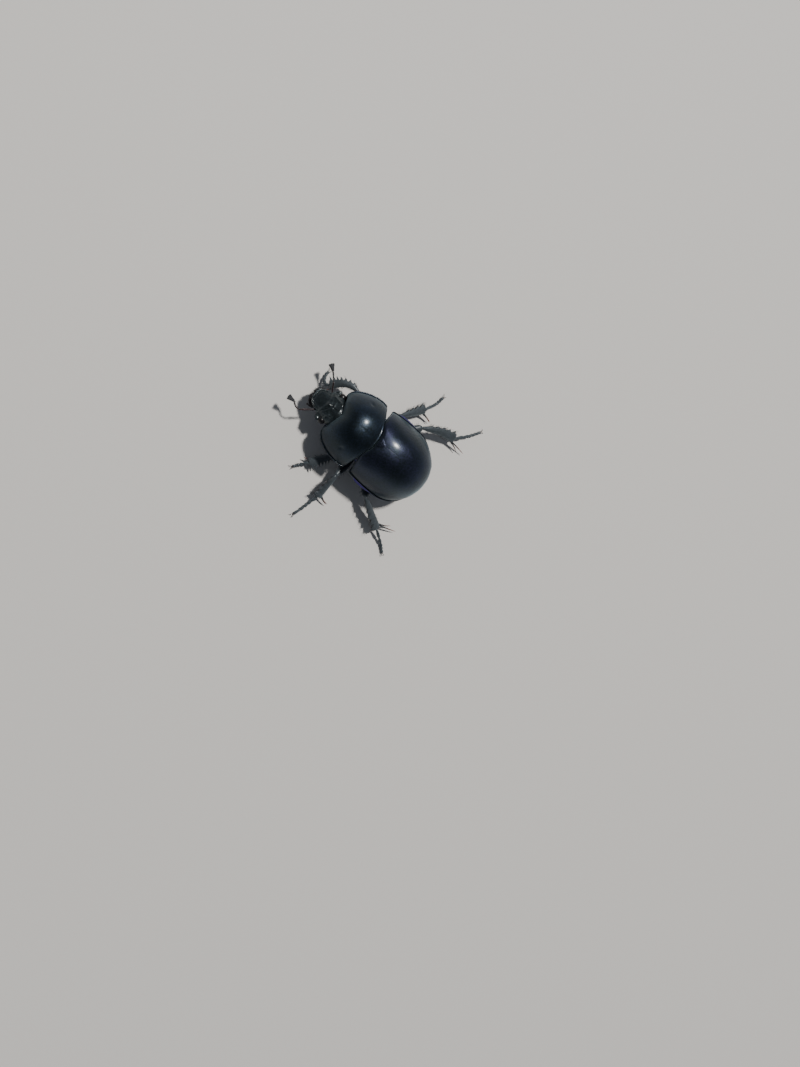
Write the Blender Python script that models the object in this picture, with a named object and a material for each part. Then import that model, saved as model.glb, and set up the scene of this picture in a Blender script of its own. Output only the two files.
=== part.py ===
"""Dor beetle, life size, as a still museum model.

The body frame has Y pointing to the tail and X to the beetle's left, with Y = 0 where the
pronotum meets the wing cases and Z = 0 on the floor. Lengths below are in millimetres; MM turns
them into metres when a mesh is made. At the end the whole beetle is moved so that the middle of
its footprint is the origin.
"""
import math

import bmesh
import bpy
from mathutils import Matrix, Vector

MM = 0.001

# Wing cases (elytra)
ELYTRA_LENGTH = 9.6
ELYTRA_HALF_WIDTH = 4.92
ELYTRA_WIDEST_AT = 4.5
ELYTRA_BASE_HALF_WIDTH = 4.5
ELYTRA_BASE_HEIGHT = 7.8
ELYTRA_TOP = 8.6
ELYTRA_TOP_AT = 3.3
SHOULDER_ROUNDING = 0.4
SHELL_THICKNESS = 0.5
MARGIN_SHOULDER = 4.4
MARGIN_MIDDLE = 3.8
MARGIN_TAIL = 2.8
CREST_POWER = 2.1
OUTLINE_POWER = 2.2

# Cross-section shared by the wing cases and the pronotum: high and round, with leaning sides
DOME_POWER = 2.5
DOME_ROUNDNESS = 0.8
# The seam between them waves forward beside the middle
SEAM_WAVE = 0.5
SEAM_WAVE_AT = 0.57
SEAM_WAVE_WIDTH = 0.26

# Pronotum and the ring of plates under it
PRONOTUM_LENGTH = 5.25
PRONOTUM_HALF_WIDTH = 4.75
PRONOTUM_WIDEST_AT = -1.3
PRONOTUM_HIND_HALF_WIDTH = 4.5
PRONOTUM_FRONT_HALF_WIDTH = 2.65
PRONOTUM_HIND_HEIGHT = 7.7
PRONOTUM_TOP = 7.9
PRONOTUM_FRONT_HEIGHT = 5.4
PRONOTUM_MARGIN_HIND = 4.4
PRONOTUM_MARGIN_FRONT = 3.8
PRONOTUM_CORNER_PULL = 0.42

# Underside
BELLY_HEIGHT = 1.2
BREAST_HEIGHT = 1.6
THORAX_END = 3.5
VENTER_ROUNDNESS = 1.4
WAIST_INSET = 1.2
WAIST_LENGTH = 2.4

# Head, which the beetle holds turned a little to its right
HEAD_TURN = -6.5
HEAD_TURNS_ABOUT = (0.0, -5.0, 0.0)
HEAD_PIECES = ("head", "eye", "labrum", "mandible", "maxillary_palp", "labial_palp")
HEAD_BACK = -5.2
HEAD_FRONT = -8.5
HEAD_BACK_HEIGHT = 5.3
HEAD_FRONT_HEIGHT = 3.3
HEAD_EDGE_BACK = 3.9
HEAD_EDGE_FRONT = 3.0
EYE_RADIUS = 0.5
EYE_OUT = 1.9
EYE_AT = -5.95
EYE_HEIGHT = 3.85

# Small plates and mouthparts
SCUTELLUM_LENGTH = 0.95
SCUTELLUM_HALF_WIDTH = 0.72
PYGIDIUM_AT = 8.93
PYGIDIUM_LENGTH = 0.52
PYGIDIUM_HALF_WIDTH = 3.1
PYGIDIUM_HEIGHT = 2.72
LABRUM_AT = -8.05
LABRUM_LENGTH = 0.6
LABRUM_HALF_WIDTH = 0.8
LABRUM_HEIGHT = 2.7
LABRUM_THICKNESS = 0.22
MANDIBLE_AT = -7.42
MANDIBLE_REACH = 1.1
MANDIBLE_WIDTH = 0.32
MANDIBLE_HEIGHT = 2.2

# Fit between neighbours
SUTURE = 0.03
GAP = 0.05
SEAM_GAP = 0.1

LEFT, RIGHT = 1, -1
SIDES = {"left": LEFT, "right": RIGHT}

# Joints of each leg: hip, knee, ankle, then the points along the foot to its claws
LEGS = {
    "fore_left": [(1.7, -3.0, 1.75), (3.6, -1.3, 2.3), (6.4, -3.2, 1.0), (7.3, -3.9, 0.45),
                  (8.3, -4.6, 0.22)],
    "fore_right": [(-1.7, -3.0, 1.75), (-3.8, -4.1, 2.9), (-2.5, -7.1, 1.5), (-2.7, -7.85, 0.8),
                   (-3.45, -7.95, 0.4), (-4.1, -7.8, 0.22)],
    "middle_left": [(2.1, 0.7, 1.6), (5.7, 0.0, 2.7), (9.1, 0.2, 1.1), (11.2, -0.2, 0.4),
                    (13.0, -0.8, 0.22)],
    "middle_right": [(-2.0, 1.05, 1.5), (-5.2, 2.28, 2.5), (-8.05, 4.82, 1.1), (-9.7, 5.9, 0.4),
                     (-11.4, 6.3, 0.22)],
    "hind_left": [(2.3, 3.3, 1.6), (5.5, 4.7, 2.6), (7.7, 9.1, 1.2), (8.8, 11.1, 0.4),
                  (9.9, 12.4, 0.22)],
    "hind_right": [(-2.3, 3.3, 1.6), (-5.7, 5.4, 2.5), (-7.7, 10.4, 1.2), (-9.5, 12.3, 0.4),
                   (-11.2, 13.6, 0.22)],
}
COXA_INNER = {"fore": (0.5, -2.8, 1.95), "middle": (0.55, 0.5, 1.7), "hind": (0.5, 3.4, 1.85)}
COXA_RADIUS = {"fore": 0.62, "middle": 0.55, "hind": 0.5}
# The side of the shin that carries the teeth
TOOTH_SIDE = {
    "fore_left": (0.3, 1.0, 0.2), "fore_right": (-1.0, -0.3, 0.2),
    "middle_left": (0.0, -1.0, 0.5), "middle_right": (0.0, -1.0, 0.5),
    "hind_left": (1.0, -0.6, 0.5), "hind_right": (-1.0, -0.6, 0.5),
}
# Half width, half thickness and number of teeth of the shins
SHINS = {"fore": (0.56, 0.28, 6), "middle": (0.54, 0.32, 3), "hind": (0.6, 0.34, 4)}
SPUR_TIPS = {
    "fore_left": [(6.3, -4.05, 0.8)],
    "fore_right": [(-1.65, -7.1, 1.25)],
    "middle_left": [(9.1, 2.0, 0.5), (8.75, 1.7, 0.8)],
    "middle_right": [(-7.35, 6.65, 0.5), (-7.15, 6.2, 0.8)],
    "hind_left": [(6.4, 11.65, 0.6), (6.25, 10.55, 0.9)],
    "hind_right": [(-7.05, 12.9, 0.6), (-6.7, 11.9, 0.6)],
}
THIGHS = {"fore": (0.72, 0.42), "middle": (0.58, 0.42), "hind": (0.78, 0.45)}
FOOT_RADIUS = 0.25
FOOT_SEGMENTS = 5
CLAW_LENGTH = 0.75
CLAW_RADIUS = 0.12
RING = 8

# Palps of the left side, then each antenna's stalk, with the root of its club, the way the club
# points and the angle between its leaves
FEELER_RADIUS = 0.25
PALPS = {
    "maxillary_palp": [(0.95, -6.7, 2.0), (1.3, -7.3, 1.75), (1.35, -7.95, 1.65)],
    "labial_palp": [(0.35, -6.75, 1.95), (0.5, -7.2, 1.7), (0.45, -7.6, 1.6)],
}
STALKS = {
    "left": [(1.0, -6.95, 3.02), (2.4, -8.85, 3.15), (1.98, -9.75, 3.2)],
    "right": [(-1.7, -6.7, 3.0), (-2.62, -7.3, 3.2), (-3.7, -8.14, 3.1)],
}
CLUBS = {
    "left": ((1.98, -9.88, 3.2), (0.0, -1.0, 0.0), 34),
    "right": ((-3.8, -8.24, 3.1), (-0.62, -0.78, 0.0), 26),
}
LEAF_HALF_SIZE = (0.26, 0.34, 0.48)

# Colour, roughness and metallic value of each finish
FINISHES = {
    "shell": ((0.012, 0.017, 0.034), 0.22, 0.3),
    "leg": ((0.014, 0.018, 0.024), 0.4, 0.1),
    "underside": ((0.014, 0.013, 0.04), 0.35, 0.4),
    "eye": ((0.008, 0.008, 0.01), 0.12, 0.0),
    "feeler": ((0.035, 0.016, 0.014), 0.5, 0.0),
}


def clear_scene():
    for obj in list(bpy.data.objects):
        bpy.data.objects.remove(obj, do_unlink=True)


def new_collection(name):
    collection = bpy.data.collections.new(name)
    bpy.context.scene.collection.children.link(collection)
    return collection


def finish(node, kind):
    """A material of the node's own, in one of the beetle's finishes."""
    colour, roughness, metallic = FINISHES[kind]
    material = bpy.data.materials.new(node)
    material.use_nodes = True
    shader = material.node_tree.nodes["Principled BSDF"]
    shader.inputs["Base Color"].default_value = (*colour, 1.0)
    shader.inputs["Roughness"].default_value = roughness
    shader.inputs["Metallic"].default_value = metallic
    return material


def add_object(name, bm, kind):
    """Store a bmesh built in millimetres as a node of the beetle."""
    if name.startswith(HEAD_PIECES):
        turn = Matrix.Rotation(math.radians(HEAD_TURN), 3, "Z")
        bmesh.ops.rotate(bm, cent=HEAD_TURNS_ABOUT, matrix=turn, verts=bm.verts)
    bmesh.ops.scale(bm, vec=(MM, MM, MM), verts=bm.verts)
    bmesh.ops.recalc_face_normals(bm, faces=bm.faces)
    mesh = bpy.data.meshes.new(name)
    bm.to_mesh(mesh)
    bm.free()
    mesh.shade_smooth()
    mesh.set_sharp_from_angle(angle=math.radians(40))
    mesh.materials.append(finish(name, kind))
    obj = bpy.data.objects.new(name, mesh)
    PARTS.objects.link(obj)
    obj.parent = FRAME
    return obj


def keep_as_cutter(obj):
    """Move an object out of the parts and in with the cutters."""
    for collection in obj.users_collection:
        collection.objects.unlink(obj)
    CUTTERS.objects.link(obj)
    obj.parent = FRAME
    obj.hide_render = True
    obj.display_type = "WIRE"


def add_cutter(source, clearance):
    """A copy of a part, swollen by the clearance, that carves its seat in a neighbour."""
    bm = bmesh.new()
    bm.from_mesh(source.data)
    bm.normal_update()
    swell = [vert.normal * clearance * MM for vert in bm.verts]
    for vert, step in zip(bm.verts, swell):
        vert.co += step
    mesh = bpy.data.meshes.new("seat_" + source.name)
    bm.to_mesh(mesh)
    bm.free()
    cutter = bpy.data.objects.new("seat_" + source.name, mesh)
    keep_as_cutter(cutter)
    return cutter


def seat(part, neighbour, clearance=GAP):
    """Carve a fitting seat for the neighbour into the part."""
    cut = part.modifiers.new("seat " + neighbour.name, "BOOLEAN")
    cut.operation = "DIFFERENCE"
    cut.solver = "EXACT"
    cut.object = add_cutter(neighbour, clearance)


def join(part, extra):
    """Grow an extra piece onto the part by a Boolean union; the piece stays with the cutters."""
    keep_as_cutter(extra)
    union = part.modifiers.new("join " + extra.name, "BOOLEAN")
    union.operation = "UNION"
    union.solver = "EXACT"
    union.object = extra


def superellipse(t, power):
    """Height from 1 at t = 0 to 0 at t = 1 of a rounded arch."""
    t = min(abs(t), 1.0)
    return (1.0 - t ** power) ** (1.0 / power)


def dome(u):
    """Height across the body from 1 over the middle to 0 at either edge."""
    return (1.0 - min(abs(u), 1.0) ** DOME_POWER) ** DOME_ROUNDNESS


def smooth_through(points, t):
    """Value at t of the smooth curve through a few (t, value) points."""
    for (t0, v0), (t1, v1) in zip(points, points[1:]):
        if t <= t1:
            s = max(0.0, (t - t0) / (t1 - t0))
            return v0 + (v1 - v0) * s * s * (3.0 - 2.0 * s)
    return points[-1][1]


def arch(steps):
    """Places from -1 to 1 across the body, closer together towards the sides."""
    return [math.sin(math.pi * (i / steps - 0.5)) for i in range(steps + 1)]


def slab(name, top, bottom, kind):
    """A closed plate between an upper and a lower grid of points of the same size."""
    bm = bmesh.new()
    grids = [[[bm.verts.new(point) for point in row] for row in grid] for grid in (top, bottom)]
    rows, columns = len(top), len(top[0])
    for grid in grids:
        for i in range(rows - 1):
            for j in range(columns - 1):
                bm.faces.new((grid[i][j], grid[i + 1][j], grid[i + 1][j + 1], grid[i][j + 1]))
    upper, lower = grids
    for i in (0, rows - 1):
        for j in range(columns - 1):
            bm.faces.new((upper[i][j], upper[i][j + 1], lower[i][j + 1], lower[i][j]))
    for j in (0, columns - 1):
        for i in range(rows - 1):
            bm.faces.new((upper[i][j], lower[i][j], lower[i + 1][j], upper[i + 1][j]))
    return add_object(name, bm, kind)


def elytra_half_width(y):
    if y < ELYTRA_WIDEST_AT:
        rise = math.sqrt(max(0.0, 1.0 - (1.0 - y / ELYTRA_WIDEST_AT) ** 2))
        return ELYTRA_BASE_HALF_WIDTH + (ELYTRA_HALF_WIDTH - ELYTRA_BASE_HALF_WIDTH) * rise
    t = (y - ELYTRA_WIDEST_AT) / (ELYTRA_LENGTH - ELYTRA_WIDEST_AT)
    return ELYTRA_HALF_WIDTH * superellipse(t, OUTLINE_POWER)


def elytra_crest(y):
    """Height of the suture above the floor."""
    if y < ELYTRA_TOP_AT:
        drop = (1.0 - y / ELYTRA_TOP_AT) ** 2
        return ELYTRA_TOP - (ELYTRA_TOP - ELYTRA_BASE_HEIGHT) * drop
    t = (y - ELYTRA_TOP_AT) / (ELYTRA_LENGTH - ELYTRA_TOP_AT)
    return MARGIN_TAIL + (ELYTRA_TOP - MARGIN_TAIL) * superellipse(t, CREST_POWER)


def elytra_margin(y):
    """Height of the outer edge above the floor."""
    t = y / ELYTRA_LENGTH
    middle = MARGIN_SHOULDER + (MARGIN_MIDDLE - MARGIN_SHOULDER) * min(1.0, 2.0 * t)
    return middle + (MARGIN_TAIL - MARGIN_MIDDLE) * max(0.0, 2.0 * t - 1.0) ** 1.5


def seam_wave(u):
    """How far the seam of pronotum and wing cases lies forward at this place across."""
    return SEAM_WAVE * math.exp(-((abs(u) - SEAM_WAVE_AT) / SEAM_WAVE_WIDTH) ** 2)


def elytra_point(u, y, inset=0.0):
    """Point of the wing cases' dome, u from -1 at the right edge to 1 at the left."""
    half = max(0.3, elytra_half_width(y) - inset)
    margin = elytra_margin(y)
    crest = max(margin + 0.3, elytra_crest(y) - inset)
    shoulder = max(0.0, (abs(u) - 0.72) / 0.28) ** 2.2 * max(0.0, 1.0 - y / 2.5)
    wave = seam_wave(u * half / ELYTRA_BASE_HALF_WIDTH) * max(0.0, 1.0 - y / 2.0) ** 2
    along = y + SHOULDER_ROUNDING * shoulder - wave
    return Vector((half * u, along, margin + (crest - margin) * dome(u)))


def tailward(start, end, steps):
    """Stations from start to end along the body, closer together towards the tail."""
    return [start + (end - start) * math.sin(math.pi / 2 * i / steps) for i in range(steps + 1)]


def build_elytra():
    """The two wing cases: hard half-millimetre shells that meet along the suture."""
    steps_along, steps_across = 16, 8
    for side_name, side in SIDES.items():
        across = [math.sin(math.pi / 2 * j / steps_across) for j in range(steps_across + 1)]
        outer = []
        inner = []
        for y in tailward(0.0, ELYTRA_LENGTH, steps_along):
            outer.append([elytra_point(side * u, y) for u in across])
            inner_y = min(y, ELYTRA_LENGTH - SHELL_THICKNESS)
            inner.append([elytra_point(side * u, inner_y, SHELL_THICKNESS) for u in across])
        for row in outer + inner:
            row[0].x = side * SUTURE
        slab("elytron_" + side_name, outer, inner, "shell")


def venter(half, u, top, bottom):
    """Point of the body's underside, shallow at the sides where the legs fold."""
    return Vector((half * u, 0.0, top - (top - bottom) * superellipse(u, VENTER_ROUNDNESS)))


def waist(y):
    """How much narrower the trunk is than the wing cases just behind the pronotum."""
    t = min(1.0, y / WAIST_LENGTH)
    return WAIST_INSET * (1.0 - t * t * (3.0 - 2.0 * t))


def build_trunk():
    """Hind thorax and abdomen: they fill the wing cases and form the underside."""
    inset = SHELL_THICKNESS + 0.16
    across = arch(9)
    spans = {"hind_thorax": (0.15, THORAX_END, 5),
             "abdomen": (THORAX_END + GAP, ELYTRA_LENGTH - inset - 0.1, 10)}
    for name, (start, end, steps) in spans.items():
        top = []
        bottom = []
        for y in tailward(start, end, steps):
            margin = elytra_margin(y) - GAP
            half = max(0.4, elytra_half_width(y) - 0.25)
            narrowed = max(0.0, half - waist(y)) / half
            depth = BELLY_HEIGHT + (margin - BELLY_HEIGHT - 0.3) * max(0.0, (y - 5.5) / 4.0) ** 2
            top_row = []
            bottom_row = []
            for u in across:
                roof = elytra_point(u, y, inset)
                roof.x *= narrowed
                roof.y = y
                top_row.append(roof)
                floor = venter(half * narrowed, u, margin - 0.15, depth)
                floor.y = y
                bottom_row.append(floor)
            top.append(top_row)
            bottom.append(bottom_row)
        slab(name, top, bottom, "underside")


def build_pygidium():
    """The last plate of the abdomen, seen from behind under the wing cases."""
    top = []
    bottom = []
    for i in range(4):
        y = PYGIDIUM_AT + PYGIDIUM_LENGTH * i / 3
        half = PYGIDIUM_HALF_WIDTH * superellipse((y - 8.4) / 1.25, 2.0)
        top.append([Vector((half * u, y, PYGIDIUM_HEIGHT - 0.12 * i)) for u in arch(6)])
        under = PYGIDIUM_HEIGHT - 0.77 + 0.04 * i
        curl = 0.5 - 0.1 * i
        bottom.append([Vector((half * u, y, under + curl * u * u)) for u in arch(6)])
    slab("pygidium", top, bottom, "underside")


def pronotum_half_width(y):
    if y > PRONOTUM_WIDEST_AT:
        t = (y - PRONOTUM_WIDEST_AT) / -PRONOTUM_WIDEST_AT
        return PRONOTUM_HIND_HALF_WIDTH + (
            PRONOTUM_HALF_WIDTH - PRONOTUM_HIND_HALF_WIDTH) * math.sqrt(max(0.0, 1.0 - t * t))
    t = (PRONOTUM_WIDEST_AT - y) / (PRONOTUM_WIDEST_AT + PRONOTUM_LENGTH)
    return PRONOTUM_FRONT_HALF_WIDTH + (
        PRONOTUM_HALF_WIDTH - PRONOTUM_FRONT_HALF_WIDTH) * superellipse(t, 1.8)


def pronotum_point(u, y):
    """Point of the pronotum's dome and, as second value, the height of its edge there."""
    forward = -y / PRONOTUM_LENGTH
    margin = PRONOTUM_MARGIN_HIND + (PRONOTUM_MARGIN_FRONT - PRONOTUM_MARGIN_HIND) * forward
    if y > -2.0:
        crest = PRONOTUM_TOP - (PRONOTUM_TOP - PRONOTUM_HIND_HEIGHT) * (1.0 + y / 2.0) ** 2
    else:
        fall = superellipse((-2.0 - y) / (PRONOTUM_LENGTH - 2.0), 1.9)
        crest = PRONOTUM_FRONT_HEIGHT + (PRONOTUM_TOP - PRONOTUM_FRONT_HEIGHT) * fall
    corner = min(1.0, max(0.0, (abs(u) - 0.6) / 0.28))
    pull = seam_wave(u) + PRONOTUM_CORNER_PULL * corner * corner * (3.0 - 2.0 * corner)
    neck_bay = max(0.0, 1.0 - abs(u) / 0.6) * max(0.0, (-y - PRONOTUM_LENGTH + 1.5) / 1.5)
    along = y - pull * max(0.0, 1.0 + y / 2.5) + 0.35 * neck_bay
    height = margin + (crest - margin) * dome(u)
    return Vector((pronotum_half_width(y) * u, along, height)), margin


def breast_share(y):
    """Width of the breast as a share of the pronotum's; it narrows to the waist behind."""
    t = min(1.0, max(0.0, 1.0 + y / 1.3))
    return 0.93 - 0.28 * t * t * (3.0 - 2.0 * t)


def breast_rise(y):
    """How far the breast has risen towards the neck, from 0 at the coxae to 0.45."""
    return 0.45 * max(0.0, (-y - 3.0) / (PRONOTUM_LENGTH - 3.0)) ** 2


def build_front_thorax():
    """The pronotum shield and, under it, the prosternum that carries the fore legs."""
    steps = 11
    across = arch(11)
    shield = {"top": [], "bottom": []}
    sternum = {"top": [], "bottom": []}
    for i in range(steps + 1):
        forward = (PRONOTUM_LENGTH - SEAM_GAP) * (1.0 - math.cos(math.pi / 2 * i / steps))
        y = -SEAM_GAP - forward
        tops, bottoms, plates, bowls = [], [], [], []
        for u in across:
            point, margin = pronotum_point(u, y)
            tops.append(point)
            bottoms.append(Vector((point.x * 0.98, point.y, margin - 0.2)))
            share = breast_share(y)
            plates.append(Vector((point.x * share, point.y * 0.97, margin - 0.2 - GAP)))
            bowl = venter(pronotum_half_width(y) * share, u, margin - 0.35, BREAST_HEIGHT)
            bowl.y = point.y * 0.97
            bowl.z += breast_rise(y) * (margin - 0.35 - bowl.z)
            bowls.append(bowl)
        shield["top"].append(tops)
        shield["bottom"].append(bottoms)
        sternum["top"].append(plates)
        sternum["bottom"].append(bowls)
    slab("pronotum", shield["top"], shield["bottom"], "shell")
    slab("prosternum", sternum["top"], sternum["bottom"], "underside")


def build_scutellum():
    """The small rounded triangle between the bases of the wing cases."""
    top = []
    bottom = []
    for i in range(5):
        v = i / 4
        half = SCUTELLUM_HALF_WIDTH * superellipse(v, 1.5) + 0.05
        y = 0.02 + SCUTELLUM_LENGTH * v
        height = elytra_crest(y) + 0.03
        row = [Vector((half * u, y, height - 0.04 * u * u)) for u in (-1, -0.5, 0, 0.5, 1)]
        top.append(row)
        bottom.append([point - Vector((0, 0, 0.4)) for point in row])
    scutellum = slab("scutellum", top, bottom, "shell")
    for side_name in SIDES:
        seat(PARTS.objects["elytron_" + side_name], scutellum, 0.04)


def head_half_width(y):
    """Outline of the head: neck, cheeks that cover the eyes, and the round clypeus."""
    outline = [(5.2, 1.75), (5.75, 2.15), (6.2, 2.15), (6.85, 1.5), (7.5, 1.38), (8.0, 1.15),
               (8.3, 0.8), (8.5, 0.3)]
    return smooth_through(outline, -y)


def build_head():
    steps = 11
    across = arch(10)
    top = []
    bottom = []
    for i in range(steps + 1):
        t = i / steps
        y = HEAD_BACK + (HEAD_FRONT - HEAD_BACK) * math.sin(math.pi / 2 * t)
        half = head_half_width(y)
        along = (y - HEAD_BACK) / (HEAD_FRONT - HEAD_BACK)
        crest = HEAD_BACK_HEIGHT + (HEAD_FRONT_HEIGHT - HEAD_BACK_HEIGHT) * along ** 1.15
        edge = HEAD_EDGE_BACK + (HEAD_EDGE_FRONT - HEAD_EDGE_BACK) * along
        chin = 2.35 + (edge - 0.3 - 2.35) * smooth_through([(0.3, 0.0), (0.75, 1.0)], along)
        top.append([Vector((half * u, y, edge + (crest - edge) * superellipse(u, 2.0)))
                    for u in across])
        bottom.append([Vector((half * 0.96 * u, y + 0.03,
                               edge - 0.12 - (edge - 0.12 - chin) * superellipse(u, 2.0)))
                       for u in across])
    head = slab("head", top, bottom, "shell")
    seat(PARTS.objects["pronotum"], head)
    seat(PARTS.objects["prosternum"], head)
    for side_name, side in SIDES.items():
        bm = bmesh.new()
        bmesh.ops.create_uvsphere(bm, u_segments=8, v_segments=7, radius=EYE_RADIUS)
        bmesh.ops.translate(bm, vec=(side * EYE_OUT, EYE_AT, EYE_HEIGHT), verts=bm.verts)
        seat(head, add_object("eye_" + side_name, bm, "eye"))


def loft(name, rings, kind):
    """A closed body through rings of points, with flat ends."""
    bm = bmesh.new()
    loops = [[bm.verts.new(point) for point in ring] for ring in rings]
    count = len(rings[0])
    for first, second in zip(loops, loops[1:]):
        for k in range(count):
            n = (k + 1) % count
            bm.faces.new((first[k], first[n], second[n], second[k]))
    bm.faces.new(loops[0])
    bm.faces.new(loops[-1])
    return add_object(name, bm, kind)


def ring_at(centre, side, lift, width, thickness, tooth=0.0, count=RING):
    """An oval ring; the tooth pulls out the one point that faces along side."""
    points = []
    for k in range(count):
        angle = 2 * math.pi * k / count
        reach = width * math.cos(angle) + (tooth if k == 0 else 0.0)
        points.append(centre + side * reach + lift * thickness * math.sin(angle))
    return points


def frame_of(start, end, side_hint):
    """Direction of a limb from start to end, with its broad side and its flat side."""
    direction = (end - start).normalized()
    hint = Vector(side_hint)
    side = (hint - direction * hint.dot(direction)).normalized()
    return direction, side, direction.cross(side)


def build_thigh(leg, hip, knee):
    width, thickness = THIGHS[leg.split("_")[0]]
    direction, side, lift = frame_of(hip, knee, (0.0, 1.0, 0.0))
    length = (knee - hip).length - 0.12
    shape = [(0.0, 0.55), (0.15, 0.8), (0.4, 1.0), (0.65, 0.92), (0.88, 0.62), (1.0, 0.42)]
    rings = [ring_at(hip + direction * length * t, side, lift, width * s, thickness * s)
             for t, s in shape]
    return loft(leg.replace("_", "_femur_"), rings, "leg")


def build_shin(leg, knee, ankle):
    """Shin that broadens to its end, with teeth along its outer edge."""
    kind, side_name = leg.split("_")
    width, thickness, teeth = SHINS[kind]
    direction, side, lift = frame_of(knee, ankle, TOOTH_SIDE[leg])
    length = (ankle - knee).length
    rings = [ring_at(knee + direction * 0.02 * length, side, lift, 0.2, 0.2)]
    rings.append(ring_at(knee + direction * 0.14 * length, side, lift, 0.27, 0.27))
    for tooth in range(teeth):
        at = 0.24 + 0.7 * (tooth + 0.5) / teeth
        step = 0.7 / teeth
        grown = (tooth + 1) / teeth
        height = (0.62 if kind == "fore" else 0.34) * (0.25 + 0.75 * grown)
        for shift, out in ((-0.42, 0.0), (0.22, height), (0.36, 0.0)):
            t = at + shift * step
            half = width * (0.55 + 0.45 * t)
            rings.append(ring_at(knee + direction * t * length, side, lift, half,
                                 thickness * (0.8 + 0.2 * t), out))
    rings.append(ring_at(knee + direction * 0.985 * length, side, lift, width, thickness))
    rings.append(ring_at(knee + direction * length, side, lift, width * 0.7, thickness * 0.7))
    shin = loft("%s_tibia_%s" % (kind, side_name), rings, "leg")
    for number, tip in enumerate(SPUR_TIPS[leg]):
        root = ankle - direction * (0.25 + 0.3 * number) - side * width * 0.6
        join(shin, build_spine("spur_%s_%d" % (leg, number), root, Vector(tip), 0.2, 0.07))
    return shin


def build_spine(name, root, tip, root_radius, tip_radius):
    """A tapering spine, to be grown onto its limb."""
    direction, side, lift = frame_of(root, tip, (0.3, 0.2, 1.0))
    rings = []
    for t in (0.0, 0.5, 1.0):
        radius = root_radius + (tip_radius - root_radius) * t
        rings.append(ring_at(root.lerp(tip, t), side, lift, radius, radius, count=6))
    return loft(name, rings, "leg")


def build_foot(leg, points):
    """Foot of five bead-like segments; its sole is flat where it stands on the floor."""
    kind, side_name = leg.split("_")
    path = [Vector(point) for point in points]
    lengths = [(b - a).length for a, b in zip(path, path[1:])]
    total = sum(lengths)

    def along(distance):
        for (a, b), length in zip(zip(path, path[1:]), lengths):
            if distance <= length:
                return a.lerp(b, distance / length)
            distance -= length
        return path[-1]

    rings = []
    for segment in range(FOOT_SEGMENTS):
        for t, swell in ((0.06, 0.86), (0.8, 1.12)):
            distance = (total - CLAW_LENGTH) * (segment + t) / FOOT_SEGMENTS
            centre = along(distance)
            ahead = along(min(total, distance + 0.2)) - along(max(0.0, distance - 0.2))
            side = ahead.cross(Vector((0, 0, 1))).normalized()
            lift = side.cross(ahead).normalized()
            radius = FOOT_RADIUS * swell * (0.55 if not rings else 1.0)
            rings.append(ring_at(centre, side, lift, radius, radius))
    for ring in rings:
        for point in ring:
            point.z = max(point.z, 0.0)
    foot = loft("%s_tarsus_%s" % (kind, side_name), rings, "leg")
    heading = path[-1] - path[-2]
    heading.z = 0.0
    heading.normalize()
    across = heading.cross(Vector((0, 0, 1)))
    root = along(total - CLAW_LENGTH - 0.35)
    for number, turn in enumerate((0.4, -0.4)):
        tip = root + (heading + across * turn).normalized() * (CLAW_LENGTH + 0.35)
        tip.z = CLAW_RADIUS * 0.9
        join(foot, build_spine("claw_%s_%d" % (leg, number), root, tip, CLAW_RADIUS * 1.4,
                               CLAW_RADIUS * 0.6))
    return foot


def build_legs():
    for leg, points in LEGS.items():
        kind, side_name = leg.split("_")
        side = SIDES[side_name]
        hip, knee, ankle = (Vector(point) for point in points[:3])
        inner = Vector(COXA_INNER[kind])
        inner.x *= side
        direction, broad, lift = frame_of(inner, hip, (0, 0, 1))
        radius = COXA_RADIUS[kind]
        reach = (hip - inner).length
        shape = [(0.0, 0.6), (0.2, 0.92), (0.6, 1.0), (0.95, 0.75), (1.1, 0.4)]
        rings = [ring_at(inner + direction * reach * t, broad, lift, radius * s, radius * s)
                 for t, s in shape]
        coxa = loft("%s_coxa_%s" % (kind, side_name), rings, "underside")
        thigh = build_thigh(leg, hip, knee)
        shin = build_shin(leg, knee, ankle)
        heading = (Vector(points[3]) - ankle).normalized()
        foot = build_foot(leg, [ankle + heading * 0.1] + points[3:])
        trunk = PARTS.objects["prosternum" if kind == "fore" else "hind_thorax"]
        seat(trunk, coxa)
        seat(trunk, thigh)
        seat(coxa, thigh)
        seat(thigh, shin)
        seat(shin, foot)
        if kind == "hind":
            seat(PARTS.objects["abdomen"], coxa)
            seat(PARTS.objects["abdomen"], thigh)
        if kind == "middle":
            seat(PARTS.objects["prosternum"], thigh)


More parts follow.
